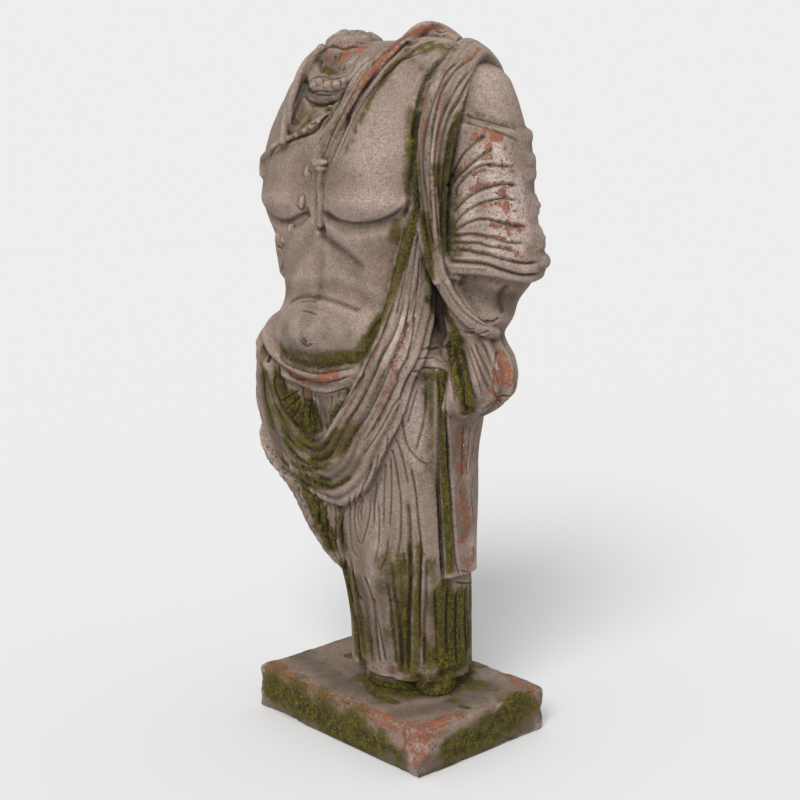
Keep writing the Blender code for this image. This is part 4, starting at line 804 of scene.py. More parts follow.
# Moss, worn and pale places of the plinth, in points like the torso's
PLINTH_MOSS = [
    (-10.0, -3.0, 0.0, 11.0, 0.22), (4.0, -9.0, 0.0, 9.0, 0.2), (12.0, 2.0, 0.0, 9.0, 0.2),
    (-12.0, 6.0, 0.0, 8.0, 0.2), (-15.0, -13.7, -3.0, 3.4, 1.0), (-11.5, -13.7, -3.8, 2.6, 0.9),
    (-9.0, -13.7, -3.4, 3.8, 1.0), (-5.5, -13.7, -4.2, 2.9, 0.9), (-2.0, -13.7, -3.6, 4.0, 1.0),
    (1.5, -13.7, -4.4, 3.0, 0.9), (5.0, -13.7, -4.0, 4.0, 1.0), (8.5, -13.7, -4.8, 3.0, 0.9),
    (11.0, -13.7, -4.4, 2.7, 0.8), (14.5, -13.7, -5.2, 2.1, 0.72), (19.2, 6.0, -3.0, 3.8, 1.0),
    (19.2, 2.8, -3.8, 2.9, 0.9), (19.2, 0.5, -4.0, 3.8, 1.0), (19.2, -2.7, -4.8, 2.9, 0.9),
    (19.2, -4.5, -5.0, 2.9, 0.8), (19.2, -7.7, -5.8, 2.2, 0.72), (19.2, 10.0, -2.6, 2.5, 0.7),
    (19.2, 6.8, -3.4, 1.9, 0.63), (3.0, -6.6, 0.0, 2.6, 0.9), (9.5, -1.0, 0.0, 2.6, 0.9),
    (11.0, 5.0, 0.0, 3.0, 0.9), (-2.0, -5.6, 0.0, 2.6, 0.8), (13.6, -1.6, 0.0, 1.4, 0.9),
    (6.6, -8.2, 0.0, 2.0, 0.5), (-8.0, 2.0, 0.0, 3.0, 0.7), (-4.0, 8.0, 0.0, 3.0, 0.8),
    (4.0, 10.0, 0.0, 3.0, 0.8), (-10.0, 13.7, -3.4, 4.6, 0.9), (-6.5, 13.7, -4.2, 3.5, 0.81),
    (4.0, 13.7, -3.6, 4.8, 0.9), (7.5, 13.7, -4.4, 3.7, 0.81), (14.0, 13.7, -3.0, 3.2, 0.7),
    (17.5, 13.7, -3.8, 2.4, 0.63), (-19.2, 4.0, -3.6, 4.2, 0.9), (-19.2, 0.8, -4.4, 3.2, 0.81),
    (-19.2, -5.0, -3.2, 3.8, 0.9), (-19.2, -8.2, -4.0, 2.9, 0.81),
]
PLINTH_WEAR = [
    (-18.0, -12.4, 0.0, 2.0, 0.74), (-14.0, -13.2, 0.0, 2.0, 0.66), (18.4, -13.0, -1.0, 3.0, 1.07),
    (16.0, -12.6, 0.0, 2.6, 0.98), (12.0, -12.8, 0.0, 2.2, 0.82), (18.4, -9.0, 0.0, 2.4, 0.90),
    (18.6, -5.0, 0.0, 1.8, 0.74), (18.6, 8.0, 0.0, 2.4, 0.74), (17.8, 12.0, 0.0, 2.2, 0.74),
    (18.8, -13.2, -4.0, 2.0, 0.90), (19.0, 12.8, -3.0, 1.6, 0.57), (-18.8, 10.0, 0.0, 2.4, 0.66),
    (0.0, 13.2, 0.0, 2.6, 0.66), (-19.0, -13.4, -4.0, 1.4, 0.49),
]
PLINTH_PALE = [
    (19.0, -13.4, -6.8, 1.4, 1.0), (-19.0, -13.4, -1.2, 1.4, 0.8), (19.0, 13.2, -5.6, 1.4, 0.8),
    (18.8, -13.2, -2.0, 2.2, 0.5), (-19.0, 13.2, -5.0, 1.4, 0.6),
]
PLINTH_BROKEN = [
    (19.0, -13.4, -3.0, 3.0, 1.4), (-19.0, -13.0, -4.0, 2.6, 1.4), (-12.0, -13.6, -6.6, 3.0, 1.0),
    (19.0, 0.0, -6.8, 3.0, 1.0), (19.0, 13.0, -3.0, 2.4, 1.0),
]


def soft_noise(places, size, seed):
    """Smooth noise between -1 and 1, with swells of about this size."""
    place = places / size + seed * SEED_STEP
    cell = np.floor(place).astype(np.int64)
    share = place - cell
    share = share * share * (3 - 2 * share)
    total = np.zeros(len(places))
    for corner in product((0, 1), repeat=3):
        key = cell + np.array(corner)
        mixed = np.bitwise_xor.reduce(key * CELL_FACTORS, axis=1) ^ (seed * SEED_FACTOR)
        mixed = ((mixed ^ (mixed >> 13)) * MIX_FACTOR) & 0x7FFFFFFF
        mixed = (mixed ^ (mixed >> 16)) & 0xFFFF
        weight = np.prod(np.where(corner, share, 1 - share), axis=1)
        total += weight * (mixed / 32767.5 - 1)
    return total


def rough_noise(places, size, seed, layers=4):
    """Noise of several sizes laid over each other, each half as large as the last."""
    total = np.zeros(len(places))
    for layer in range(layers):
        total += soft_noise(places, size / 2**layer, seed + 5 * layer) / 2**layer
    return total / 1.6


def smooth_line(rows, steps):
    """Points along a smooth line through the rows, with this many steps between neighbours."""
    rows = np.asarray(rows, float)
    ends = np.vstack([2 * rows[0] - rows[1], rows, 2 * rows[-1] - rows[-2]])
    line = []
    for first in range(len(rows) - 1):
        a, b, c, d = ends[first : first + 4]
        for share in np.arange(steps) / steps:
            bend = (2 * a - 5 * b + 4 * c - d) * share**2
            turn = (3 * b - a - 3 * c + d) * share**3
            line.append(0.5 * (2 * b + (c - a) * share + bend + turn))
    line.append(rows[-1])
    return np.array(line)


def section_values(sections, level):
    """Middle, half width, depths and squareness at each level, eased between the sections."""
    sections = np.asarray(sections, float)
    levels = sections[:, 0]
    first = np.clip(np.searchsorted(levels, level) - 1, 0, len(levels) - 2)
    gap = levels[first + 1] - levels[first]
    share = np.clip((level - levels[first]) / gap, 0, 1)
    values = []
    for column in sections[:, 1:].T:
        slope = np.gradient(column, levels)
        values.append(
            (2 * share**3 - 3 * share**2 + 1) * column[first]
            + (share**3 - 2 * share**2 + share) * gap * slope[first]
            + (3 * share**2 - 2 * share**3) * column[first + 1]
            + (share**3 - share**2) * gap * slope[first + 1]
        )
    return values


def on_surface(sections, angle, level, lift):
    """Points in space on a lofted form, raised by the lift."""
    middle_x, middle_y, half, front, back, square = section_values(sections, level)
    turn = np.radians(angle)
    side = np.sin(turn)
    ahead = np.cos(turn)
    depth = np.where(ahead > 0, front, back)
    reach = ((np.abs(side) / half) ** square + (np.abs(ahead) / depth) ** square) ** (-1 / square)
    reach = np.maximum(reach + lift, 0.3)
    return np.stack([middle_x + reach * side, middle_y - reach * ahead, level], axis=-1)


def bump(distance):
    """Rounded profile, 1 in the middle and 0 at a distance of 1 and beyond."""
    return np.where(distance < 1, np.cos(np.minimum(distance, 1) * math.pi / 2) ** 2, 0)


def roll(distance):
    """Full, round back of a fold, 1 in the middle and falling steeply to 0 at 1."""
    return np.sqrt(np.clip(1 - distance**2, 0, 1))


def step_up(value):
    """Soft step from 0 to 1."""
    value = np.clip(value, 0, 1)
    return value * value * (3 - 2 * value)


def line_distance(line, angle, level, reach):
    """Distance in points over the body from each place to a line, and the nearest step of it."""
    distance = np.full(angle.shape, 99.0)
    nearest = np.zeros(angle.shape, int)
    scale = math.radians(1) * GIRTH
    for index in range(len(line) - 1):
        start_angle, start_level = line[index][:2]
        along = (line[index + 1][0] - start_angle) * scale
        rise = line[index + 1][1] - start_level
        rows = np.flatnonzero(np.abs(level[:, 0] - start_level) < reach + abs(rise))
        if not len(rows):
            continue
        band = slice(rows[0], rows[-1] + 1)
        across = ((angle[band] - start_angle + 180) % 360 - 180) * scale
        up = level[band] - start_level
        share = np.clip((across * along + up * rise) / (along**2 + rise**2 + 1e-9), 0, 1)
        found = np.hypot(across - share * along, up - share * rise)
        better = found < distance[band]
        distance[band] = np.where(better, found, distance[band])
        nearest[band] = np.where(better, index, nearest[band])
    return distance, nearest


def sash_relief(angle, level):
    """Nested folds between the sash's upper and lower edges."""
    upper = smooth_line(SASH_UPPER, 5)
    lower = smooth_line(SASH_LOWER, 5)
    scale = math.radians(1) * GIRTH
    full = np.hypot((upper - lower)[:, 0] * scale, (upper - lower)[:, 1])
    full = np.maximum(full, 2.2)
    lift = np.zeros(angle.shape)
    for middle, share, height in SASH_FOLDS:
        line = upper + (lower - upper) * middle
        distance, nearest = line_distance(line, angle, level, 4)
        half = full[nearest] * share / 2
        shell = 0.75 * step_up((half * 1.35 - distance) / (0.5 * half))
        crest = height * np.minimum(half / 0.55, 1) * roll(distance / (1.02 * half))
        lift = np.maximum(lift, shell + crest)
    return lift


def pleat_relief(angle, level):
    """Pleats of the skirt round its sides and back."""
    lift = np.zeros(angle.shape)
    pleats = [([(angle_up, top), (hem, -2)], depth) for angle_up, top, hem, depth in SIDE_PLEATS]
    start, end = BACK_PLEAT_SPAN
    for pleat in range(BACK_PLEATS):
        place = start + (end - start) * pleat / (BACK_PLEATS - 1)
        sway = 3 * math.sin(pleat * 2.4)
        top = BACK_PLEAT_TOP - 5 * abs(math.sin(pleat * 1.7))
        line = smooth_line([(place, top), (place + sway, top / 2), (180 + (place - 180) * 0.92, -2)], 6)
        pleats.append((line, 0.75 + 0.25 * math.sin(pleat * 3.1)))
    for line, depth in pleats:
        distance, _ = line_distance(line, angle, level, 2)
        fade = step_up((line[0][1] - level) / 6)
        lift -= depth * fade * (bump(distance / 1.3) * 0.6 + bump(distance / 0.5) * 0.5)
    return lift


def body_relief(angle, level):
    """How far the carving stands above the plain body."""
    turned = (angle + 180) % 360 - 180
    lift = pleat_relief(angle, level)
    for middle_angle, middle_level, half_width, half_height, height in BODY_SWELLS.values():
        across = (turned - middle_angle + 180) % 360 - 180
        across = across * math.radians(1) * GIRTH / half_width
        lift += height * np.exp(-(across**2) - ((level - middle_level) / half_height) ** 2)
    for rows, width, height in BODY_LINES.values():
        distance, _ = line_distance(smooth_line(rows, 4), angle, level, width + 2)
        lift += height * bump(distance / (1.5 * width))
    fall = np.interp(level, *zip(*HIP_FALL)) * np.interp(turned, *zip(*HIP_FALL_ANGLES))
    ragged = 0.5 * np.sin(turned * 0.32) + 0.3 * np.sin(turned * 0.9 + 1)
    lift += fall * (1 + 0.12 * np.sin(turned * 0.5)) + 0.3 * ragged * (fall > 0.5) * (level < 36)
    folds = 0.5 * np.sin(turned * 1.15 + 0.12 * level) + 0.3 * np.sin(turned * 2.1 - 0.2 * level)
    lift += np.minimum(fall, 1) * folds * step_up((40 - level) / 8) * 0.7
    left, right = TAIL_SIDES
    inside = step_up((turned - left) / 3) * step_up((right - turned) / 4)
    hang = 1 + 0.9 * step_up((level - 36) / 9)
    lift += TAIL_LIFT * hang * inside * step_up((level - TAIL_END) / 0.7) * step_up((54 - level) / 4)
    sash = sash_relief(angle, level)
    return np.where(sash > 0.05, np.maximum(sash, lift * 0.5 + sash), lift)


def arm_relief(angle, level):
    """Sleeve edge, the sleeve's folds on the far side and the folds over the hand."""
    turned = (angle + 180) % 360 - 180
    front = np.clip((75 - turned) / 110, 0, 1)
    edge = SLEEVE_EDGE + 1.2 * front
    lift = 0.5 * step_up((edge - level) / 0.6) * step_up((level - 60) / 4)
    away = step_up((turned - 95) / 25) + step_up((-60 - turned) / 25)
    for middle, drift, height in SLEEVE_FOLDS:
        fold = middle + drift * np.sin(np.radians(turned) * 2)
        lift += height * away * roll(np.abs(level - fold) / 1.0)
    ledge = np.interp(turned, *zip(*SLEEVE_LEDGE))
    under = level - ledge
    lift += 0.55 * step_up((under + 0.35) / 0.6) * step_up((69 - level) / 3)
    lift -= 0.75 * step_up((0.25 - under) / 0.6) * step_up((under + 7) / 5)
    low = step_up((57 - level) / 2)
    lift += 0.3 * low * np.cos(np.radians(turned) * 11)
    return lift


def no_relief(angle, level):
    """A plain body stays as it is."""
    return np.zeros(angle.shape)


def space(rows):
    """Rows of points as places in metres."""
    return np.asarray(rows, float) * POINT + np.array([0, 0, FOOT_LEVEL])


def skinned(rings):
    """Closed form over rings of places: a strip of faces between rings and a cap at each end."""
    rings = np.asarray(rings)
    index = np.arange(rings.shape[0] * rings.shape[1]).reshape(rings.shape[:2])
    beside = np.roll(index, -1, axis=1)
    quads = np.stack([index[:-1], beside[:-1], beside[1:], index[1:]], axis=-1).reshape(-1, 4)
    caps = [index[0, ::-1].tolist(), index[-1].tolist()]
    return rings.reshape(-1, 3), quads.tolist() + caps


def loft(sections, relief, columns, step):
    """Closed form with rings at even levels."""
    levels = np.arange(sections[0][0], sections[-1][0] + step / 2, step)
    angles = np.arange(columns) * 360 / columns - 180
    angle, level = np.meshgrid(angles, levels)
    return skinned(space(on_surface(sections, angle, level, relief(angle, level))))


def beside_line(line, index, guide):
    """Directions to the side of a line and above it at one of its places, held by a guide."""
    ahead = line[min(index + 1, len(line) - 1)] - line[max(index - 1, 0)]
    side = np.cross(ahead, guide)
    side /= np.linalg.norm(side)
    up = np.cross(side, ahead)
    return side, up / np.linalg.norm(up)


def tube(line, radius):
    """Round bar along places in metres, closed at both ends."""
    turn = np.arange(14)[:, None] * 2 * math.pi / 14
    rings = []
    for index, place in enumerate(line):
        side, up = beside_line(line, index, (0.12, 0.2, 1.0))
        rings.append(place + radius * (np.cos(turn) * side + np.sin(turn) * up))
    return skinned(rings)


def twisted_cord(rows, radius, turns):
    """Two strands wound round one middle line."""
    line = space(smooth_line(rows, 8))
    strands = []
    for strand in (0, math.pi):
        path = []
        for index, place in enumerate(line):
            side, up = beside_line(line, index, (0, 0, 1))
            turn = strand + turns * 2 * math.pi * index / (len(line) - 1)
            path.append(place + (side * math.cos(turn) + up * math.sin(turn)) * radius * 0.62)
        strands.append(tube(np.array(path), radius))
    return strands


def taken(work):
    """Places and faces of a work mesh, which is then freed."""
    places = np.array([vertex.co for vertex in work.verts])
    faces = [[vertex.index for vertex in face.verts] for face in work.faces]
    work.free()
    return places, faces


def ball(middle, radii, roughness, fineness=4):
    """Lump of stone, in points, rough where it is broken."""
    work = bmesh.new()
    bmesh.ops.create_icosphere(work, subdivisions=fineness, radius=1.0)
    ways, faces = taken(work)
    swell = 1 + roughness * rough_noise(ways + np.array([7.1, 3.3, 1.9]), 0.8, 3)
    return space(ways * np.array(radii) * swell[:, None] + np.array(middle)), faces


def shawl():
    """Ridged band swept over the shoulder, facing away from the middle of the upper arm."""
    line = smooth_line(SHAWL, 16)
    thick = SHAWL_THICKNESS / POINT
    over = np.linspace(-1, 1, 12 * SHAWL_RIDGES + 1)[:, None]
    back = np.linspace(1, -1, 9)[:, None]
    place = (over + 1) / 2 * SHAWL_RIDGES
    ridge = 0.66 + 0.34 * roll(np.abs(place - np.floor(place) - 0.5) * 2)
    height = thick * ridge * (1 - over**4) ** 0.5 + 0.05
    rings = []
    for index, row in enumerate(line):
        core = np.array([12.5, -1.0, min(row[2], 89.0)])
        if row[2] < 64:
            core = np.array([17.5, -0.5, row[2] + 2])
        side, out = beside_line(line[:, :3], index, row[:3] - core)
        above = row[:3] + side * over * row[3] + out * height
        below = row[:3] + side * back * row[3] - out * thick * 1.4
        rings.append(np.vstack([above, below]))
    return skinned(space(rings))


def foot_block():
    """Round block under the hem that joins the figure to the plinth."""
    turn = np.linspace(0, 2 * math.pi, 97)[:-1]
    wobble = 1 + 0.012 * np.sin(turn * 3 + 1) + 0.008 * np.sin(turn * 7)
    x, y = STUB_MIDDLE
    rings = []
    for height, share in STUB_RINGS:
        ring = np.stack([np.cos(turn), np.sin(turn), 0 * turn], axis=-1) * STUB_RADIUS * share
        rings.append(ring * wobble[:, None] + np.array([x * POINT, y * POINT, FOOT_LEVEL + height]))
    return skinned(rings)


def one_mesh(name, forms):
    """One mesh that holds every form."""
    places = []
    faces = []
    start = 0
    for form_places, form_faces in forms:
        places.append(form_places)
        faces += [[corner + start for corner in face] for face in form_faces]
        start += len(form_places)
    mesh = bpy.data.meshes.new(name)
    mesh.from_pydata(np.vstack(places).tolist(), [], faces)
    mesh.update()
    return mesh


def settled(name, mesh, steps):
    """The mesh after these modifiers, each given as its kind and settings."""
    obj = bpy.data.objects.new(name, mesh)
    bpy.context.scene.collection.objects.link(obj)
    for kind, settings in steps:
        modifier = obj.modifiers.new(kind.lower(), kind)
        for setting, value in settings.items():
            setattr(modifier, setting, value)
    bpy.context.view_layer.update()
    graph = bpy.context.evaluated_depsgraph_get()
    made = bpy.data.meshes.new_from_object(obj.evaluated_get(graph))
    bpy.data.objects.remove(obj, do_unlink=True)
    return made


def read_out(items, setting, width=3, kind=float):
    """One setting of every vertex, edge or corner, with this many numbers in a row."""
    values = np.empty(len(items) * width, kind)
    items.foreach_get(setting, values)
    return values.reshape(-1, width)


def put_places(mesh, places):
    """Moves every vertex of the mesh to its place."""
    mesh.vertices.foreach_set("co", np.ascontiguousarray(places, dtype=np.float32).ravel())
    mesh.update()


def eased(pairs, values, times):
    """Values, each pulled to the mean of its neighbours as often as asked."""
    count = len(values)
    first, second = pairs.T
    shares = np.bincount(first, minlength=count) + np.bincount(second, minlength=count)
    shares = np.maximum(shares, 1)
    values = np.array(values, float).reshape(count, -1)
    for _ in range(times):
        total = np.empty_like(values)
        for column in range(values.shape[1]):
            one_way = np.bincount(first, values[second, column], count)
            total[:, column] = (one_way + np.bincount(second, values[first, column], count)) / shares
        values = 0.5 * values + 0.5 * total
    return values


def nearness(places, rows, reach, tree=None):
    """Places near a line, their distance to it and how far along it they lie, from 0 to 1."""
    line = space(smooth_line(rows, 6))
    if tree is not None:
        line = np.array([tree.find_nearest(Vector(place))[0] for place in line])
    inside = np.all((places > line.min(0) - reach) & (places < line.max(0) + reach), axis=1)
    near = np.flatnonzero(inside)
    spots = places[near]
    distance = np.full(len(near), 9.0)
    along = np.zeros(len(near))
    for index in range(len(line) - 1):
        way = line[index + 1] - line[index]
        share = np.clip((spots - line[index]) @ way / (way @ way + 1e-12), 0, 1)
        found = np.linalg.norm(spots - line[index] - share[:, None] * way, axis=1)
        better = found < distance
        distance[better] = found[better]
        along[better] = (index + share[better]) / (len(line) - 1)
    return near, distance, along


def cut_lines(places, normals, tree, lines):
    """How far each place moves out of the stone for the carved lines, and how much painted shade the cut
    gets.
    """
    move = np.zeros(len(places))
    shade = np.zeros(len(places))
    for width, depth, rows in lines:
        half = width * LINE_HALF
        near, distance, along = nearness(places, rows, half * 5, tree)
        ends = step_up(np.minimum(along, 1 - along) / 0.1) * 0.85 + 0.15
        cut = np.exp(-((distance / half) ** 2)) * ends
        side = np.exp(-(((distance - 2.3 * half) / half) ** 2)) * ends
        move[near] = np.minimum(move[near], -depth * MM * cut)
        move[near] += 0.26 * depth * MM * side * (cut < 0.3)
        shade[near] = np.maximum(shade[near], cut)
    return move, shade


def patches(places, rows):
    """Strength of soft round patches, each a place in points, a radius in points and a strength."""
    total = np.zeros(len(places))
    for x, y, z, radius, strength in rows:
        middle = space((x, y, z))
        reach = radius * POINT * 2.6
        near = np.flatnonzero(np.all(np.abs(places - middle) < reach, axis=1))
        away = np.linalg.norm(places[near] - middle, axis=1) / (radius * POINT)
        total[near] = np.maximum(total[near], strength * np.exp(-(away**2)))
    return total


def strokes(places, rows):
    """Strength of soft strokes, each a half width in points, a strength and the places along it.

    A row of five numbers is one round patch: place, radius and strength.
    """
    total = patches(places, [row for row in rows if len(row) == 5])
    for radius, strength, line in (row for row in rows if len(row) == 3):
        near, distance, _ = nearness(places, line, radius * POINT * 2.4)
        fall = step_up((distance / (radius * POINT) - 0.15) / 1.25)
        total[near] = np.maximum(total[near], strength * (1 - fall))
    return total


def shelter(mesh, places, normals, reach, rays):
    """Share of the sky above each place that other stone hides, within this reach."""
    faces = [list(face.vertices) for face in mesh.polygons]
    tree = BVHTree.FromPolygons(places.tolist(), faces)
    ways = []
    for index in range(rays):
        height = 1 - (index + 0.5) / rays * 0.92
        turn = index * EVEN_TURN
        flat = math.sqrt(1 - height * height)
        ways.append((flat * math.cos(turn), flat * math.sin(turn), height))
    hidden = np.zeros(len(places))
    for index, (place, normal) in enumerate(zip(places, normals)):
        up = Vector(normal)
        turn = up.to_track_quat("Z", "X")
        start = Vector(place) + up * 0.0012
        for way in ways:
            if tree.ray_cast(start, turn @ Vector(way), reach)[0] is not None:
                hidden[index] += 1
    return hidden / rays


def lean_mesh(name, mesh, most):
    """The mesh with no more triangles than asked."""
    mesh.calc_loop_triangles()
    share = min(1.0, most / len(mesh.loop_triangles))
    lean = settled(name, mesh, [("DECIMATE", {"ratio": share}), ("TRIANGULATE", {})])
    lean.name = name
    return lean


def largest_shell(mesh):
    """Drops every loose crumb, so that the stone is one body."""
    pairs = read_out(mesh.edges, "vertices", 2, np.int32)
    label = np.arange(len(mesh.vertices))
    while True:
        low = np.minimum(label[pairs[:, 0]], label[pairs[:, 1]])
        new = label.copy()
        np.minimum.at(new, pairs[:, 0], low)
        np.minimum.at(new, pairs[:, 1], low)
        new = new[new]
        if np.array_equal(new, label):
            break
        label = new
    names, counts = np.unique(label, return_counts=True)
    if len(names) > 1:
        work = bmesh.new()
        work.from_mesh(mesh)
        work.verts.ensure_lookup_table()
        main = names[counts.argmax()]
        crumbs = [work.verts[index] for index in np.flatnonzero(label != main)]
        bmesh.ops.delete(work, geom=crumbs, context="VERTS")
        work.to_mesh(mesh)
        work.free()


class StatueSizes(bpy.types.PropertyGroup):
    """Sizes of the carving."""

    grain_step: bpy.props.FloatProperty(
        name="Carving step", description="Step of the grid that the torso is carved on",
        default=0.0016, min=0.001, max=0.01, unit="LENGTH", subtype="DISTANCE",
    )
    torso_faces: bpy.props.IntProperty(
        name="Torso triangles", description="Most triangles on the torso", default=196000, min=1000,
    )
    plinth_faces: bpy.props.IntProperty(
        name="Plinth triangles", description="Most triangles on the plinth", default=70000, min=500,
    )
    groove_depth: bpy.props.FloatProperty(
        name="Groove depth", description="How deep the carved lines are, against their usual depth",
        default=1.0, min=0.0, max=2.0, subtype="FACTOR",
    )
    break_depth: bpy.props.FloatProperty(
        name="Break roughness",
        description="How rough the broken places are, against their usual roughness",
        default=1.0, min=0.0, max=2.0, subtype="FACTOR",
    )
    plinth_edge: bpy.props.FloatProperty(
        name="Plinth edge", description="Radius of the plinth's worn edges",
        default=0.006, min=0.001, max=0.02, unit="LENGTH", subtype="DISTANCE",
    )


class StatueFinish(bpy.types.PropertyGroup):
    """Colours of the stone, of what has grown and worn on it, and of its painted shade and painted
    highlight.
    """

    stone_warm: bpy.props.FloatVectorProperty(
        name="Warm stone", description="Lighter, pinkish part of the stone",
        default=(0.207, 0.147, 0.115), size=3, min=0, max=1, subtype="COLOR",
    )
    stone_cool: bpy.props.FloatVectorProperty(
        name="Grey stone", description="Darker, greyer part of the stone",
        default=(0.138, 0.098, 0.074), size=3, min=0, max=1, subtype="COLOR",
    )
    # Colour of dirt and of painted shade in the hollows, the cut lines and places hidden from the sky
    dirt_and_shade: bpy.props.FloatVectorProperty(
        name="Dirt", description="Dirt that stays in the hollows",
        default=(0.034, 0.026, 0.019), size=3, min=0, max=1, subtype="COLOR",
    )
    # Also the painted shade on moss in the hollows and cut lines
    moss_dark: bpy.props.FloatVectorProperty(
        name="Dark moss", description="Moss deep in the folds",
        default=(0.012, 0.0088, 0.0012), size=3, min=0, max=1, subtype="COLOR",
    )
    moss_light: bpy.props.FloatVectorProperty(
        name="Light moss", description="Dry moss at the rims of its patches",
        default=(0.112, 0.096, 0.004), size=3, min=0, max=1, subtype="COLOR",
    )
    moss_veil: bpy.props.FloatVectorProperty(
        name="Moss veil", description="Thin green film round the moss",
        default=(0.075, 0.056, 0.014), size=3, min=0, max=1, subtype="COLOR",
    )
    # Colour of painted shade where the stone lies in shade, and of dark stains
    shade_and_stain: bpy.props.FloatVectorProperty(
        name="Stain", description="Dark skin where water runs and dust lies",
        default=(0.066, 0.05, 0.036), size=3, min=0, max=1, subtype="COLOR",
    )
    worn: bpy.props.FloatVectorProperty(
        name="Worn orange", description="Fired colour where the skin has worn off",
        default=(0.26, 0.076, 0.03), size=3, min=0, max=1, subtype="COLOR",
    )
    # Also the colour of the painted highlight on raised places
    pale: bpy.props.FloatVectorProperty(
        name="Pale skin", description="Pale lime skin on the high places",
        default=(0.46, 0.365, 0.325), size=3, min=0, max=1, subtype="COLOR",
    )


class Bench:
    """Lays shader nodes out from left to right and joins them up."""

    def __init__(self, material):
        self.tree = material.node_tree
        self.column = 0

    def add(self, kind, inputs=None, **settings):
        node = self.tree.nodes.new(kind)
        node.location = (-1800 + 90 * self.column, 300 - 160 * (self.column % 5))
        self.column += 1
        for setting, value in settings.items():
            setattr(node, setting, value)
        for key, value in (inputs or {}).items():
            if isinstance(value, bpy.types.NodeSocket):
                self.tree.links.new(value, node.inputs[key])
            else:
                node.inputs[key].default_value = value
        return node

    def noise(self, place, scale, detail, rough=0.55):
        inputs = {"Vector": place, "Scale": scale, "Detail": detail, "Roughness": rough}
        return self.add("ShaderNodeTexNoise", inputs).outputs["Fac"]

    def reach(self, value, low, high, new_low=0.0, new_high=1.0):
        """The value moved from one reach to another along a soft curve."""
        inputs = {"Value": value, "From Min": low, "From Max": high, "To Min": new_low, "To Max": new_high}
        node = self.add("ShaderNodeMapRange", inputs, interpolation_type="SMOOTHSTEP")
        return node.outputs["Result"]

    def worked(self, kind, values):
        """The values joined one after another."""
        result = values[0]
        for value in values[1:]:
            result = self.add("ShaderNodeMath", {0: result, 1: value}, operation=kind).outputs[0]
        return result

    def plus(self, *values):
        return self.worked("ADD", values)

    def times(self, *values):
        return self.worked("MULTIPLY", values)

    def mix(self, share, first, second, kind="MIX"):
        inputs = {0: share}
        for key, value in ((6, first), (7, second)):
            inputs[key] = value if isinstance(value, bpy.types.NodeSocket) else (*value, 1.0)
        return self.add("ShaderNodeMix", inputs, data_type="RGBA", blend_type=kind).outputs[2]

    def shaded(self, colour, share):
        """The colour made lighter or darker."""
        grey = self.add("ShaderNodeCombineColor", {0: share, 1: share, 2: share}).outputs[0]
        return self.mix(1.0, colour, grey, "MULTIPLY")

    def noted(self, name):
        """The value that the mesh keeps under this name."""
        node = self.add("ShaderNodeAttribute", attribute_name=name, attribute_type="GEOMETRY")
        return node.outputs["Fac"]


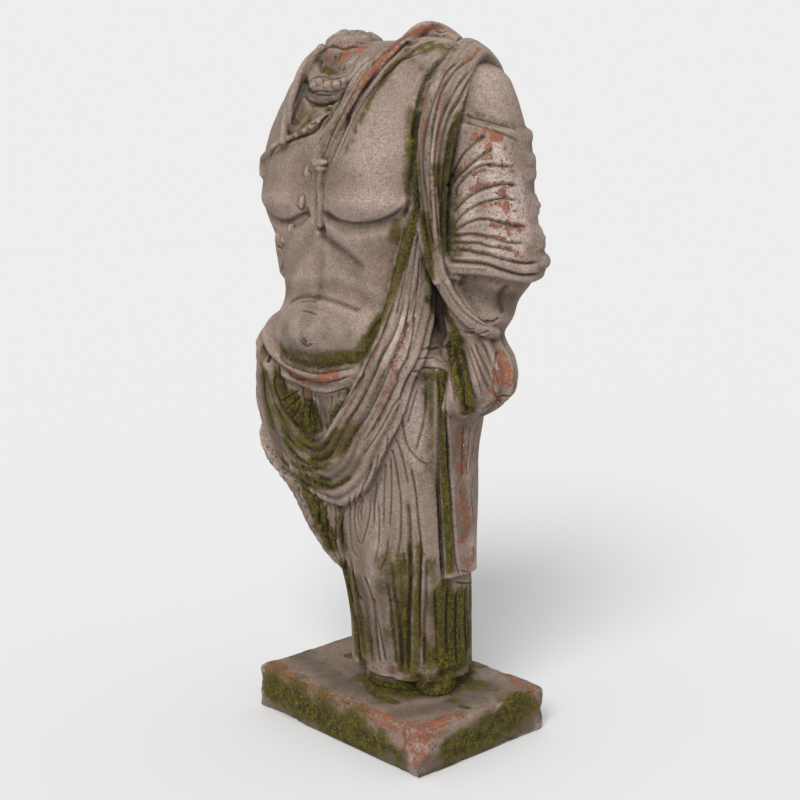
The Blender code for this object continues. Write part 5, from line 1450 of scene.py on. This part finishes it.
def weathered_stone(name, finish, moss_share):
    """Stone with grain, moss, stains, pale and worn orange places, painted shade with grime in its hollows,
    and a painted highlight.
    """
    material = bpy.data.materials.new(name)
    material.use_nodes = True
    bench = Bench(material)
    shader = material.node_tree.nodes["Principled BSDF"]
    place = bench.add("ShaderNodeTexCoord").outputs["Object"]

    broad = bench.noise(place, 9, 3)
    middling = bench.noise(place, 42, 4)
    mottle = bench.noise(place, 210, 3, 0.6)
    grain = bench.noise(place, 580, 2, 0.6)
    hollow = bench.noted("hollow")
    ridge = bench.noted("ridge")
    crevice = bench.noted("crevice")

    tone = bench.plus(bench.times(broad, 0.9), bench.times(middling, 0.5))
    colour = bench.mix(bench.reach(tone, 0.45, 0.95), finish.stone_cool, finish.stone_warm)
    pale = bench.times(bench.noted("pale"), bench.reach(mottle, 0.2, 0.56))
    colour = bench.mix(bench.times(pale, 0.8), colour, finish.pale)
    # Raised places lightened with the pale colour: a painted highlight
    colour = bench.mix(bench.times(ridge, 0.42), colour, finish.pale)
    colour = bench.shaded(colour, bench.reach(grain, 0.36, 0.66, 0.74, 1.18))
    colour = bench.shaded(colour, bench.reach(mottle, 0.3, 0.7, 0.88, 1.09))

    # Patches darkened: painted shade where the stone lies in shade, with dark stains
    shade_and_stain = bench.reach(bench.plus(bench.noted("shade_and_stain"), bench.plus(middling, -0.5)), 0.08, 0.9)
    colour = bench.mix(bench.times(shade_and_stain, 0.75), colour, finish.shade_and_stain)

    worn_note = bench.noted("worn")
    rust = bench.times(worn_note, bench.reach(mottle, 0.3, 0.62), 0.5)
    colour = bench.mix(rust, colour, RUST)
    worn_edge = bench.plus(bench.noise(place, 120, 5, 0.65), bench.times(mottle, 0.4))
    worn = bench.reach(bench.plus(bench.times(worn_note, 0.31), worn_edge), 0.92, 1.0)
    worn_tone = bench.plus(bench.times(grain, 0.5), bench.times(middling, 0.5))
    worn_colour = bench.mix(bench.reach(worn_tone, 0.38, 0.62), WORN_DARK, finish.worn)
    colour = bench.mix(bench.times(worn, 0.85), colour, worn_colour)

    dark_pit = bench.reach(bench.noise(place, 190, 2, 0.5), 0.63, 0.7)
    dark_pit = bench.times(dark_pit, bench.plus(bench.noted("rough"), 0.25))
    # Hollows, cut lines and dark pits darkened: painted shade in the hollows and cut lines, with dirt and
    # dark pits
    dirt_and_shade = bench.plus(hollow, bench.times(crevice, 0.7), bench.times(dark_pit, 0.8))
    dirt_and_shade = bench.reach(bench.times(dirt_and_shade, bench.reach(mottle, 0.2, 0.7, 0.6, 1.2)), 0.05, 0.95)
    colour = bench.mix(bench.times(dirt_and_shade, 0.85), colour, finish.dirt_and_shade)

    moss_note = bench.noted("moss")
    moss_edge = bench.noise(place, 110, 5, 0.65)
    veil = bench.reach(bench.plus(moss_note, bench.plus(moss_edge, -0.5)), 0.05, 0.6)
    colour = bench.mix(bench.times(veil, 0.6), colour, finish.moss_veil)
    moss_grain = bench.plus(bench.times(mottle, 0.5), bench.times(grain, 0.9))
    moss_level = bench.plus(bench.times(moss_note, moss_share), bench.times(moss_edge, 0.9))
    moss_level = bench.plus(moss_level, bench.times(middling, 0.8))
    moss = bench.reach(bench.plus(moss_level, moss_grain), 1.76, 2.12)
    moss_tone_and_shade = bench.plus(moss_grain, bench.times(moss_edge, 0.6))
    # Moss darker in the hollows and cut lines: painted shade
    moss_tone_and_shade = bench.plus(moss_tone_and_shade, bench.times(hollow, -0.45), bench.times(crevice, -0.3))
    moss_colour = bench.mix(bench.reach(moss_tone_and_shade, 0.88, 1.18), finish.moss_dark, finish.moss_light)
    dull = bench.reach(middling, 0.5, 0.7, 0.0, 0.55)
    moss_colour = bench.mix(dull, moss_colour, finish.moss_veil)
    colour = bench.mix(bench.times(moss, 0.93), colour, moss_colour)

    fleck = bench.add("ShaderNodeTexVoronoi", {"Vector": place, "Scale": 130.0, "Randomness": 1.0})
    fleck_size = bench.reach(bench.noise(place, 28, 2), 0.5, 0.75, 0.03, 0.17)
    fleck_size = bench.plus(fleck_size, bench.times(fleck.outputs["Distance"], -1.0))
    flecks = bench.times(bench.reach(fleck_size, 0.0, 0.03), bench.noted("flecks"))
    colour = bench.mix(bench.times(flecks, 0.85), colour, LIME)

    material.node_tree.links.new(colour, shader.inputs["Base Color"])
    roughness = bench.reach(bench.plus(bench.times(mottle, 0.6), moss), 0.2, 1.3, 0.8, 1.0)
    material.node_tree.links.new(roughness, shader.inputs["Roughness"])
    shader.inputs["Specular IOR Level"].default_value = 0.25

    height = bench.plus(bench.times(grain, 0.5), bench.times(mottle, 0.9))
    height = bench.plus(height, bench.times(dark_pit, -1.3), bench.times(worn, -0.35))
    height = bench.plus(height, bench.times(moss, bench.noise(place, 900, 2)))
    relief = bench.add("ShaderNodeBump", {"Height": height, "Strength": 0.95, "Distance": 0.0015})
    material.node_tree.links.new(relief.outputs[0], shader.inputs["Normal"])
    return material


def share_of(value, whole):
    """Share of the whole, from 0 to 1."""
    return np.clip(value / whole, 0, 1)


def weather(mesh, moss_rows, worn_rows, pale_rows, broken_rows, lines, tree):
    """Notes on each vertex how hollow, high, mossy, worn, pale and rough it is, and how much painted shade,
    painted highlight and stains it gets.
    """
    places = read_out(mesh.vertices, "co")
    normals = read_out(mesh.vertices, "normal")
    pairs = read_out(mesh.edges, "vertices", 2, np.int32)
    fine = eased(pairs, places, 4)
    wide = eased(pairs, fine, 26)
    sunk_fine = np.einsum("ij,ij->i", fine - places, normals)
    sunk_wide = np.einsum("ij,ij->i", wide - places, normals)
    # Concave places and places that other stone hides from the sky make the hollow mask; the shader darkens
    # it as painted shade, with dirt, and moss grows there
    hidden = eased(pairs, shelter(mesh, places, normals, reach=0.05, rays=10), 2)[:, 0]
    hollow = share_of(sunk_fine, 0.0011) * 0.72 + share_of(sunk_wide, 0.0035) * 0.24
    hollow = np.clip(hollow + share_of(hidden - 0.45, 0.5) * 0.7, 0, 1)
    # Raised places, which the shader lightens as a painted highlight and which wear more
    ridge = share_of(-sunk_fine, 0.0010) * 0.5 + share_of(-sunk_wide, 0.0040) * 0.5
    # Mask of the cut lines, which the shader darkens as painted shade
    shade = cut_lines(places, normals, tree, lines)[1] if lines else np.zeros(len(places))
    damp = np.clip(0.55 * rough_noise(places, 0.09, 11, 3) + 0.25, 0, 1)
    low = 1 - step_up((places[:, 2] - 0.08) / 0.35)
    moss = strokes(places, moss_rows) * (0.78 + 0.22 * np.clip(hollow * 1.6 + hidden, 0, 1))
    moss = np.maximum(moss, np.clip(hollow * 1.2 + hidden * 0.5, 0, 1) * damp * (0.45 + 0.4 * low))
    worn = strokes(places, worn_rows) * (0.8 + 0.2 * np.clip(1 - hollow * 2 + ridge, 0, 1))
    worn = np.maximum(worn, ridge * np.clip(rough_noise(places, 0.06, 23, 3), 0, 1) * 0.8)
    pale = strokes(places, pale_rows)
    rough = patches(places, [(*row[:4], min(1.0, row[4] / 1.6)) for row in broken_rows])
    notes = {
        "hollow": hollow,
        "ridge": ridge * (1 - moss),
        "crevice": shade,
        "moss": moss,
        "worn": worn,
        "pale": pale,
        # Patches of painted shade, with dark stains
        "shade_and_stain": strokes(places, SHADE_AND_STAINS),
        "rough": rough + 0.4 * pale,
        "flecks": 0.25 + pale + rough * 0.6 - moss,
    }
    for name, values in notes.items():
        layer = mesh.attributes.new(name, "FLOAT", "POINT")
        layer.data.foreach_set("value", np.clip(values, 0, 1).astype(np.float32))


def roughen(places, normals, rows, scale):
    """Breaks the skin of the stone at the broken places and dents it all over."""
    move = 0.00022 * rough_noise(places, 0.012, 31, 2)
    crumbs = rough_noise(places, 0.011, 41, 4)
    ragged = np.minimum(crumbs, 0.25) * 1.6
    for x, y, z, radius, depth in rows:
        move += scale * MM * depth * ragged * patches(places, [(x, y, z, radius, 1.0)])
    return places + normals * move[:, None]


def dent(places, normals, rows, seed):
    """Small pits, scattered round given places with a fixed seed."""
    chance = np.random.default_rng(seed)
    move = np.zeros(len(places))
    for x, y, z, spread, count in rows:
        middle = space((x, y, z))
        near = np.flatnonzero(np.linalg.norm(places - middle, axis=1) < spread * POINT)
        if not len(near):
            continue
        for pick in chance.choice(near, min(count, len(near)), replace=False):
            size = chance.uniform(*PIT_SIZES)
            local = near[np.linalg.norm(places[near] - places[pick], axis=1) < size * 1.5]
            away = np.linalg.norm(places[local] - places[pick], axis=1) / size
            move[local] -= size * 0.65 * bump(away)
    return places + normals * np.maximum(move, -PIT_SIZES[1])[:, None]


def show(piece, material):
    """Puts a piece in the scene, smooth and with its one material."""
    bpy.context.scene.collection.objects.link(piece)
    piece.data.materials.clear()
    piece.data.materials.append(material)
    for face in piece.data.polygons:
        face.use_smooth = True


class STATUE_OT_carve_torso(bpy.types.Operator):
    """Carve the headless draped torso with its cords, shawl, sash and broken edges"""

    bl_idname = "statue.carve_torso"
    bl_label = "Carve the torso"

    def execute(self, context):
        sizes = context.scene.statue_sizes
        finish = context.scene.statue_finish
        forms = [
            loft(BODY_SECTIONS, body_relief, columns=640, step=0.2),
            loft(ARM_SECTIONS, arm_relief, columns=300, step=0.2),
            loft(NECK_SECTIONS, no_relief, columns=120, step=0.25),
            shawl(),
            foot_block(),
            *(ball(*lump) for lump in LUMPS.values()),
            tube(space(smooth_line(PENDANT, 6)), PENDANT_RADIUS),
        ]
        forms += twisted_cord(LEFT_CORD, CORD_RADIUS, turns=1.5)
        forms += twisted_cord(RIGHT_CORD, THIN_CORD_RADIUS, turns=1.0)
        forms += [ball(row[:3], row[3:6], roughness=0.03, fineness=3) for row in BEADS]
        rough_mesh = one_mesh("torso_rough", forms)
        carved = settled("torso_skin", rough_mesh, [
            ("REMESH", {"mode": "VOXEL", "voxel_size": sizes.grain_step}),
            ("SMOOTH", {"factor": 0.5, "iterations": 2}),
        ])
        largest_shell(carved)
        places = read_out(carved.vertices, "co")
        normals = read_out(carved.vertices, "normal")
        corners = read_out(carved.loops, "vertex_index", 1, np.int32)
        tree = BVHTree.FromPolygons(places.tolist(), corners.reshape(-1, 4).tolist())
        move, _ = cut_lines(places, normals, tree, CARVED_LINES)
        places = places + normals * (move * sizes.groove_depth)[:, None]
        sunk = MM * patches(places, PRESSED) - MM * patches(places, RAISED)
        places = places - normals * sunk[:, None]
        places = roughen(places, normals, BROKEN, sizes.break_depth)
        places = dent(places, normals, PITS, seed=5)
        places[:, 2] = np.maximum(places[:, 2], FOOT_LEVEL)
        put_places(carved, places)
        lean = lean_mesh("torso_carved", carved, sizes.torso_faces)
        grown = (MOSS + FAR_MOSS, WEAR + FAR_WEAR, PALE + FAR_PALE)
        weather(lean, *grown, BROKEN, CARVED_LINES, tree)
        piece = bpy.data.objects.new("torso_carved", lean)
        show(piece, weathered_stone("torso_stone", finish, moss_share=0.85))
        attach(piece, "root")
        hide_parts("torso")
        return {"FINISHED"}


class STATUE_OT_cut_plinth(bpy.types.Operator):
    """Cut the worn and chipped slab that the torso stands on"""

    bl_idname = "statue.cut_plinth"
    bl_label = "Cut the plinth"

    def execute(self, context):
        sizes = context.scene.statue_sizes
        finish = context.scene.statue_finish
        low, high = (np.array(corner) for corner in PLINTH_BOX)
        half = (high - low) / 2
        middle = (high + low) / 2
        work = bmesh.new()
        bmesh.ops.create_cube(work, size=2.0)
        places, faces = taken(work)
        block = one_mesh("plinth_block", [(places * half + middle, faces)])
        slab = settled("plinth_slab", block, [
            ("BEVEL", {"width": sizes.plinth_edge, "segments": 4, "limit_method": "ANGLE"}),
            ("REMESH", {"mode": "VOXEL", "voxel_size": PLINTH_STEP}),
        ])
        places = read_out(slab.vertices, "co")
        normals = read_out(slab.vertices, "normal")
        height = places[:, 2]
        from_end = half[0] - np.abs(places[:, 0])
        from_side = half[1] - np.abs(places[:, 1])
        inset = np.minimum(from_end, from_side)
        side = step_up(1 - inset / 0.004)
        under = 1 - step_up(height / 0.006)
        x, y = STUB_MIDDLE
        stand = np.hypot(places[:, 0] - x * POINT, places[:, 1] - y * POINT)
        seat = 1 - step_up((stand - STUB_RADIUS * 1.02) / 0.02)
        wave = rough_noise(places, 0.05, 3, 3)
        crumbs = rough_noise(places, 0.016, 9, 4)
        move = side * (0.0026 * wave + 0.0017 * crumbs - 0.0012)
        flat_wave = 0.0007 * rough_noise(places, 0.035, 17, 3)
        move += (1 - side) * (flat_wave + 0.00035 * crumbs - 0.0006)
        edge = bump((high[2] - height) / 0.012) * step_up(1 - inset / 0.014)
        move -= edge * (0.0020 + 0.0060 * np.clip(rough_noise(places, 0.035, 27, 3), 0, 1))
        foot = bump(height / 0.012) * step_up(1 - inset / 0.016)
        creep = foot * (0.0016 + 0.0085 * np.clip(rough_noise(places, 0.03, 37, 3), 0, 1))
        ends = from_end < from_side
        outward = np.sign(places) * np.stack([ends, ~ends, 0 * ends], axis=-1)
        corner = np.hypot(from_end, from_side)
        move -= bump(corner / 0.018) * (0.0018 + 0.0026 * crumbs) * (1 - under * 0.5)
        for x, y, z, radius, depth in CHIPS:
            away = np.linalg.norm(places - np.array([x, y, z]), axis=1) / radius
            move -= depth * bump(away * (1 + 0.25 * crumbs))
        seated = (normals[:, 2] > 0.7) & (seat > 0)
        move = np.where(seated, move * (1 - seat) - 0.0002 * seat, move)
        move *= 1 - under * (normals[:, 2] < -0.5)
        places = places + normals * move[:, None] - outward * creep[:, None]
        places[:, 2] = np.maximum(places[:, 2], low[2])
        put_places(slab, places)
        lean = lean_mesh("plinth_cut", slab, sizes.plinth_faces)
        grown = (MOSS + PLINTH_MOSS, WEAR + PLINTH_WEAR, PALE + PLINTH_PALE)
        weather(lean, *grown, PLINTH_BROKEN, None, None)
        piece = bpy.data.objects.new("plinth_cut", lean)
        show(piece, weathered_stone("plinth_stone", finish, moss_share=0.9))
        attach(piece, "root")
        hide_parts("plinth")
        return {"FINISHED"}


class STATUE_OT_set_stage(bpy.types.Operator):
    """Lay the pale floor, hang the soft lights and stand the camera"""

    bl_idname = "statue.set_stage"
    bl_label = "Set the stage"

    def execute(self, context):
        scene = context.scene
        mesh = bpy.data.meshes.new("floor")
        mesh.from_pydata([(-9, -9, 0), (9, -9, 0), (9, 9, 0), (-9, 9, 0)], [], [(0, 1, 2, 3)])
        floor = bpy.data.objects.new("floor", mesh)
        scene.collection.objects.link(floor)
        paper = bpy.data.materials.new("floor_paper")
        paper.use_nodes = True
        shader = paper.node_tree.nodes["Principled BSDF"]
        shader.inputs["Base Color"].default_value = (0.55, 0.55, 0.55, 1)
        shader.inputs["Roughness"].default_value = 1.0
        shader.inputs["Specular IOR Level"].default_value = 0.0
        mesh.materials.append(paper)
        floor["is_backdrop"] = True

        world = bpy.data.worlds.new("studio")
        scene.world = world
        world.use_nodes = True
        sky = world.node_tree.nodes["Background"]
        sky.inputs["Color"].default_value = (1.0, 1.0, 1.0, 1)
        sky.inputs["Strength"].default_value = 0.85
        light = bpy.data.lights.new("key", "SUN")
        light.energy = 3.376
        light.angle = math.radians(28)
        lamp = bpy.data.objects.new("key", light)
        lamp.rotation_euler = Vector((-1.5, 2.4, -2.4)).to_track_quat("-Z", "Y").to_euler()
        scene.collection.objects.link(lamp)

        scene.view_settings.view_transform = "Standard"
        camera = bpy.data.cameras.new("camera")
        camera.sensor_width = 36
        camera.lens = 63
        camera.shift_x = 0.001875
        eye = bpy.data.objects.new("camera", camera)
        around = math.radians(47.1)
        down = math.radians(10.2)
        eye.matrix_world = (
            Matrix.Translation((1.446, -1.344, 0.835))
            @ Matrix.Rotation(around, 4, "Z")
            @ Matrix.Rotation(math.pi / 2 - down, 4, "X")
        )
        scene.collection.objects.link(eye)
        scene.camera = eye
        return {"FINISHED"}


class STATUE_PT_maker(bpy.types.Panel):
    """Steps that make the statue"""

    bl_idname = "STATUE_PT_maker"
    bl_label = "Stone torso statue"
    bl_space_type = "VIEW_3D"
    bl_region_type = "UI"
    bl_category = "Statue"

    def draw(self, context):
        for group in (context.scene.statue_sizes, context.scene.statue_finish):
            box = self.layout.box()
            for name in group.__annotations__:
                box.prop(group, name)
        for step in STEPS:
            self.layout.operator(step.bl_idname)


STEPS = (STATUE_OT_carve_torso, STATUE_OT_cut_plinth, STATUE_OT_set_stage)
CLASSES = (StatueSizes, StatueFinish, *STEPS, STATUE_PT_maker)


def register():
    for part in CLASSES:
        bpy.utils.register_class(part)
    bpy.types.Scene.statue_sizes = bpy.props.PointerProperty(type=StatueSizes)
    bpy.types.Scene.statue_finish = bpy.props.PointerProperty(type=StatueFinish)


def unregister():
    del bpy.types.Scene.statue_finish
    del bpy.types.Scene.statue_sizes
    for part in reversed(CLASSES):
        bpy.utils.unregister_class(part)


def main():
    register()
    bpy.ops.statue.carve_torso()
    bpy.ops.statue.cut_plinth()
    bpy.ops.statue.set_stage()
    boxes = {"cad_box": CAD_BOX, "visual_box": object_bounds()}
    boxes = {name: [[float(value) for value in corner] for corner in box] for name, box in boxes.items()}


if __name__ == "__main__":
    main()
